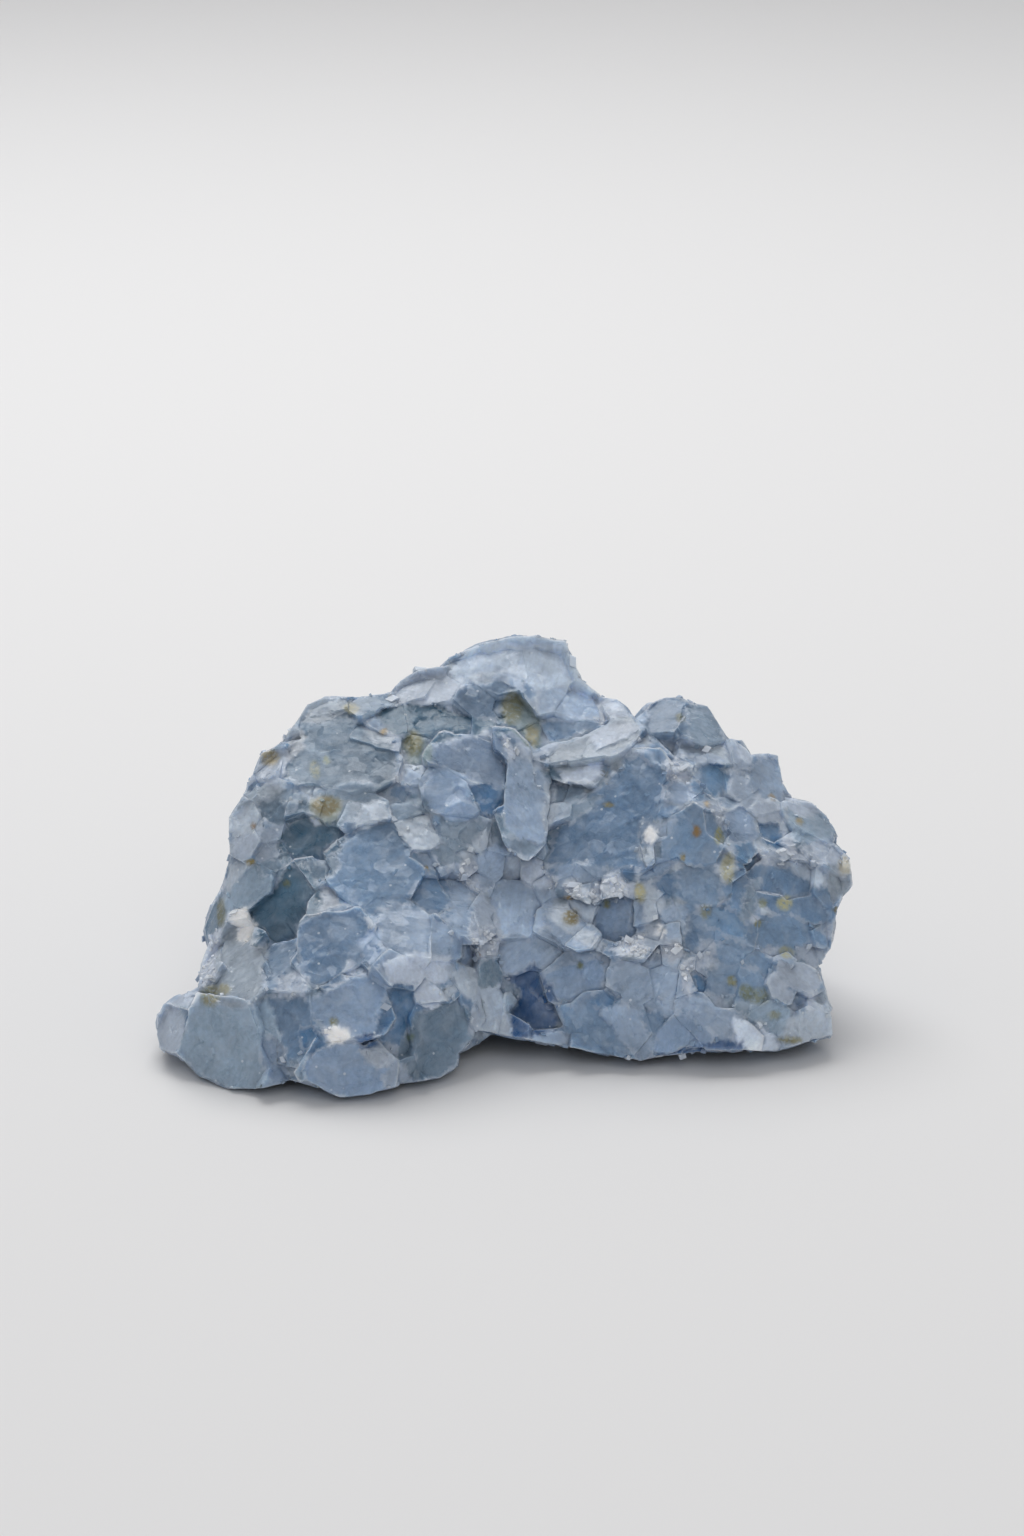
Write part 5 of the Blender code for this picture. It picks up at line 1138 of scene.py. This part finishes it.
def scatter(tree, entry, density, size, number, flat):
    """Slanted boxes stuck all over the places where the density asks for them."""
    seed = sum_of(tree, "ADD", entry["Seed"], float(10 * number))
    spots = put(tree, "GeometryNodeDistributePointsOnFaces", {
        "Mesh": entry["Geometry"], "Density": density, "Seed": seed,
    }, distribute_method="RANDOM")
    pale = put(tree, "GeometryNodeStoreNamedAttribute", {
        "Geometry": spots.outputs["Points"], "Name": "pale",
    }, data_type="FLOAT", domain="POINT")
    tree.links.new(drawn(tree, "FLOAT", 0.0, 1.0, seed, 1), pale.inputs["Value"])
    upright = put(tree, "FunctionNodeAlignRotationToVector", {
        "Vector": spots.outputs["Normal"],
    }, axis="Z")
    tilt = drawn(tree, "FLOAT_VECTOR", [-turn for turn in GRAIN_TURN], GRAIN_TURN, seed, 2)
    turned = put(tree, "FunctionNodeRotateRotation", {
        "Rotation": upright.outputs[0],
    }, rotation_space="LOCAL")
    tree.links.new(tilt, turned.inputs["Rotate By"])
    narrow, wide = GRAIN_WIDTH
    shape = drawn(tree, "FLOAT_VECTOR", (narrow, narrow, flat),
                  (wide, wide, flat * GRAIN_THICKEST), seed, 3)
    spread_out = drawn(tree, "FLOAT", *GRAIN_RANGE, seed, 4)
    scale = scaled(tree, shape, sum_of(tree, "MULTIPLY", spread_out, size))
    return put(tree, "GeometryNodeInstanceOnPoints", {
        "Points": pale.outputs[0], "Instance": slanted_box(tree),
        "Rotation": turned.outputs[0], "Scale": scale,
    }).outputs[0]


def grain_tree(material):
    tree = bpy.data.node_groups.new("crystal_grains", "GeometryNodeTree")
    face = tree.interface
    face.new_socket("Geometry", in_out="INPUT", socket_type="NodeSocketGeometry")
    face.new_socket("Geometry", in_out="OUTPUT", socket_type="NodeSocketGeometry")
    for name, value in GRAINS.items():
        kind = "NodeSocketInt" if isinstance(value, int) else "NodeSocketFloat"
        face.new_socket(name, in_out="INPUT", socket_type=kind)
    entry = put(tree, "NodeGroupInput").outputs
    frost = named(tree, "frost", "FLOAT")
    border = named(tree, "border", "FLOAT")
    rest = named(tree, "rest", "FLOAT_VECTOR")
    place = put(tree, "GeometryNodeInputPosition").outputs[0]
    above = put(tree, "ShaderNodeSeparateXYZ", {"Vector": place}).outputs["Z"]
    above = sum_of(tree, "GREATER_THAN", above, entry["Lowest"])
    cloud = ramp(tree, grain(tree, rest, JOINT_PATCH_SIZE, 2.0), 0.42, 0.6)
    joint = sum_of(tree, "MULTIPLY", sum_of(tree, "MULTIPLY", border, cloud), JOINT_SHARE)
    crushed = ramp(tree, frost, 0.30, 0.9)
    share = sum_of(tree, "MULTIPLY", sum_of(tree, "ADD", joint, crushed), above)
    both = put(tree, "GeometryNodeJoinGeometry")
    grains = scatter(tree, entry, sum_of(tree, "MULTIPLY", share, entry["Grain Density"]),
                     entry["Grain Size"], 1, GRAIN_FLAT)
    blocks = scatter(tree, entry, sum_of(tree, "MULTIPLY", share, entry["Block Density"]),
                     entry["Block Size"], 2, BLOCK_FLAT)
    tree.links.new(grains, both.inputs[0])
    tree.links.new(blocks, both.inputs[0])
    whole = put(tree, "GeometryNodeRealizeInstances", {"Geometry": both.outputs[0]})
    flat = put(tree, "GeometryNodeSetShadeSmooth", {
        "Geometry": whole.outputs[0], "Shade Smooth": False,
    })
    dressed = put(tree, "GeometryNodeSetMaterial", {
        "Geometry": flat.outputs[0], "Material": material,
    })
    put(tree, "NodeGroupOutput", {"Geometry": dressed.outputs[0]})
    return tree


def grain_material():
    material = bpy.data.materials.new("clear_calcite_grains")
    material.use_nodes = True
    tree = material.node_tree
    tree.nodes.clear()
    pale = attribute(tree, "pale").outputs["Fac"]
    frost = attribute(tree, "frost").outputs["Fac"]
    milk = sum_of(tree, "ADD", ramp(tree, pale, 0.2, 1.0, 0.0, 0.5),
                  ramp(tree, frost, 0.0, 1.0, 0.0, 0.4))
    colour = blend(tree, milk, attribute(tree, "tone").outputs["Color"], rgba(GRAIN_WHITE))
    skin = put(tree, "ShaderNodeBsdfPrincipled", {
        "Base Color": colour, "Roughness": ramp(tree, pale, 0.0, 1.0, 0.12, 0.4),
        "IOR": GRAIN_IOR, "Subsurface Weight": 0.6, "Subsurface Radius": LIGHT_COLOURS,
        "Subsurface Scale": GRAIN_LIGHT_DEPTH,
    })
    put(tree, "ShaderNodeOutputMaterial", {"Surface": skin.outputs[0]})
    return material


grains = bpy.data.objects.new("crystal_grains", body.data.copy())
bpy.context.scene.collection.objects.link(grains)
apply_tree(grains, grain_tree(grain_material()), GRAINS)
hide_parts("calcite_stone")
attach(grains, "root")


# The studio. A plain pale sheet of matt paper carries the stone, under a wide soft lamp above and
# a little behind it, with weaker ones behind and in front. The camera looks slightly down.

PAPER_REACH = 3.0
PAPER_COLOUR = (0.755, 0.75, 0.75, 1)
PAPER_ROUGHNESS = 0.9
ROOM_LIGHT = (0.98, 0.985, 1.0, 1)
ROOM_STRENGTH = 0.41

paper_mesh = bpy.data.meshes.new("paper")
paper_mesh.from_pydata([
    (-PAPER_REACH, -PAPER_REACH, 0), (PAPER_REACH, -PAPER_REACH, 0),
    (PAPER_REACH, PAPER_REACH, 0), (-PAPER_REACH, PAPER_REACH, 0),
], [], [(0, 1, 2, 3)])
paper = bpy.data.objects.new("paper", paper_mesh)
bpy.context.scene.collection.objects.link(paper)
paper_skin = bpy.data.materials.new("matt_paper")
paper_skin.use_nodes = True
paper_inputs = paper_skin.node_tree.nodes["Principled BSDF"].inputs
paper_inputs["Base Color"].default_value = PAPER_COLOUR
paper_inputs["Roughness"].default_value = PAPER_ROUGHNESS
paper_mesh.materials.append(paper_skin)

world = bpy.data.worlds.new("studio")
world.use_nodes = True
world_inputs = world.node_tree.nodes["Background"].inputs
world_inputs["Color"].default_value = ROOM_LIGHT
world_inputs["Strength"].default_value = ROOM_STRENGTH
bpy.context.scene.world = world


def soft_lamp(name, place, width, watts, aimed=True, cone_deg=180):
    """A round soft lamp, aimed at the stone or straight down."""
    lamp = bpy.data.lights.new(name, "AREA")
    lamp.shape = "DISK"
    lamp.size = width
    lamp.energy = watts
    lamp.spread = math.radians(cone_deg)
    stand = bpy.data.objects.new(name, lamp)
    stand.location = place
    if aimed:
        stand.rotation_euler = (-Vector(place)).to_track_quat("-Z", "Y").to_euler()
    bpy.context.scene.collection.objects.link(stand)


soft_lamp("overhead", (-0.12, 0.36, 0.68), 0.7, 4.0)
soft_lamp("behind", (0.0, 1.2, 0.6), 0.8, 0.6, aimed=False)
soft_lamp("in_front", (0.10, -0.60, 0.50), 0.5, 0.18, cone_deg=70)

camera = bpy.data.cameras.new("camera")
camera.lens = 100
camera.sensor_width = 36
camera.clip_start = 0.01
camera.clip_end = 20
camera_object = bpy.data.objects.new("camera", camera)
camera_object.location = EYE
camera_object.rotation_euler = (math.radians(90 - VIEW_DOWN_DEG), 0, 0)
bpy.context.scene.collection.objects.link(camera_object)
bpy.context.scene.camera = camera_object
bpy.context.scene.view_settings.view_transform = "Standard"
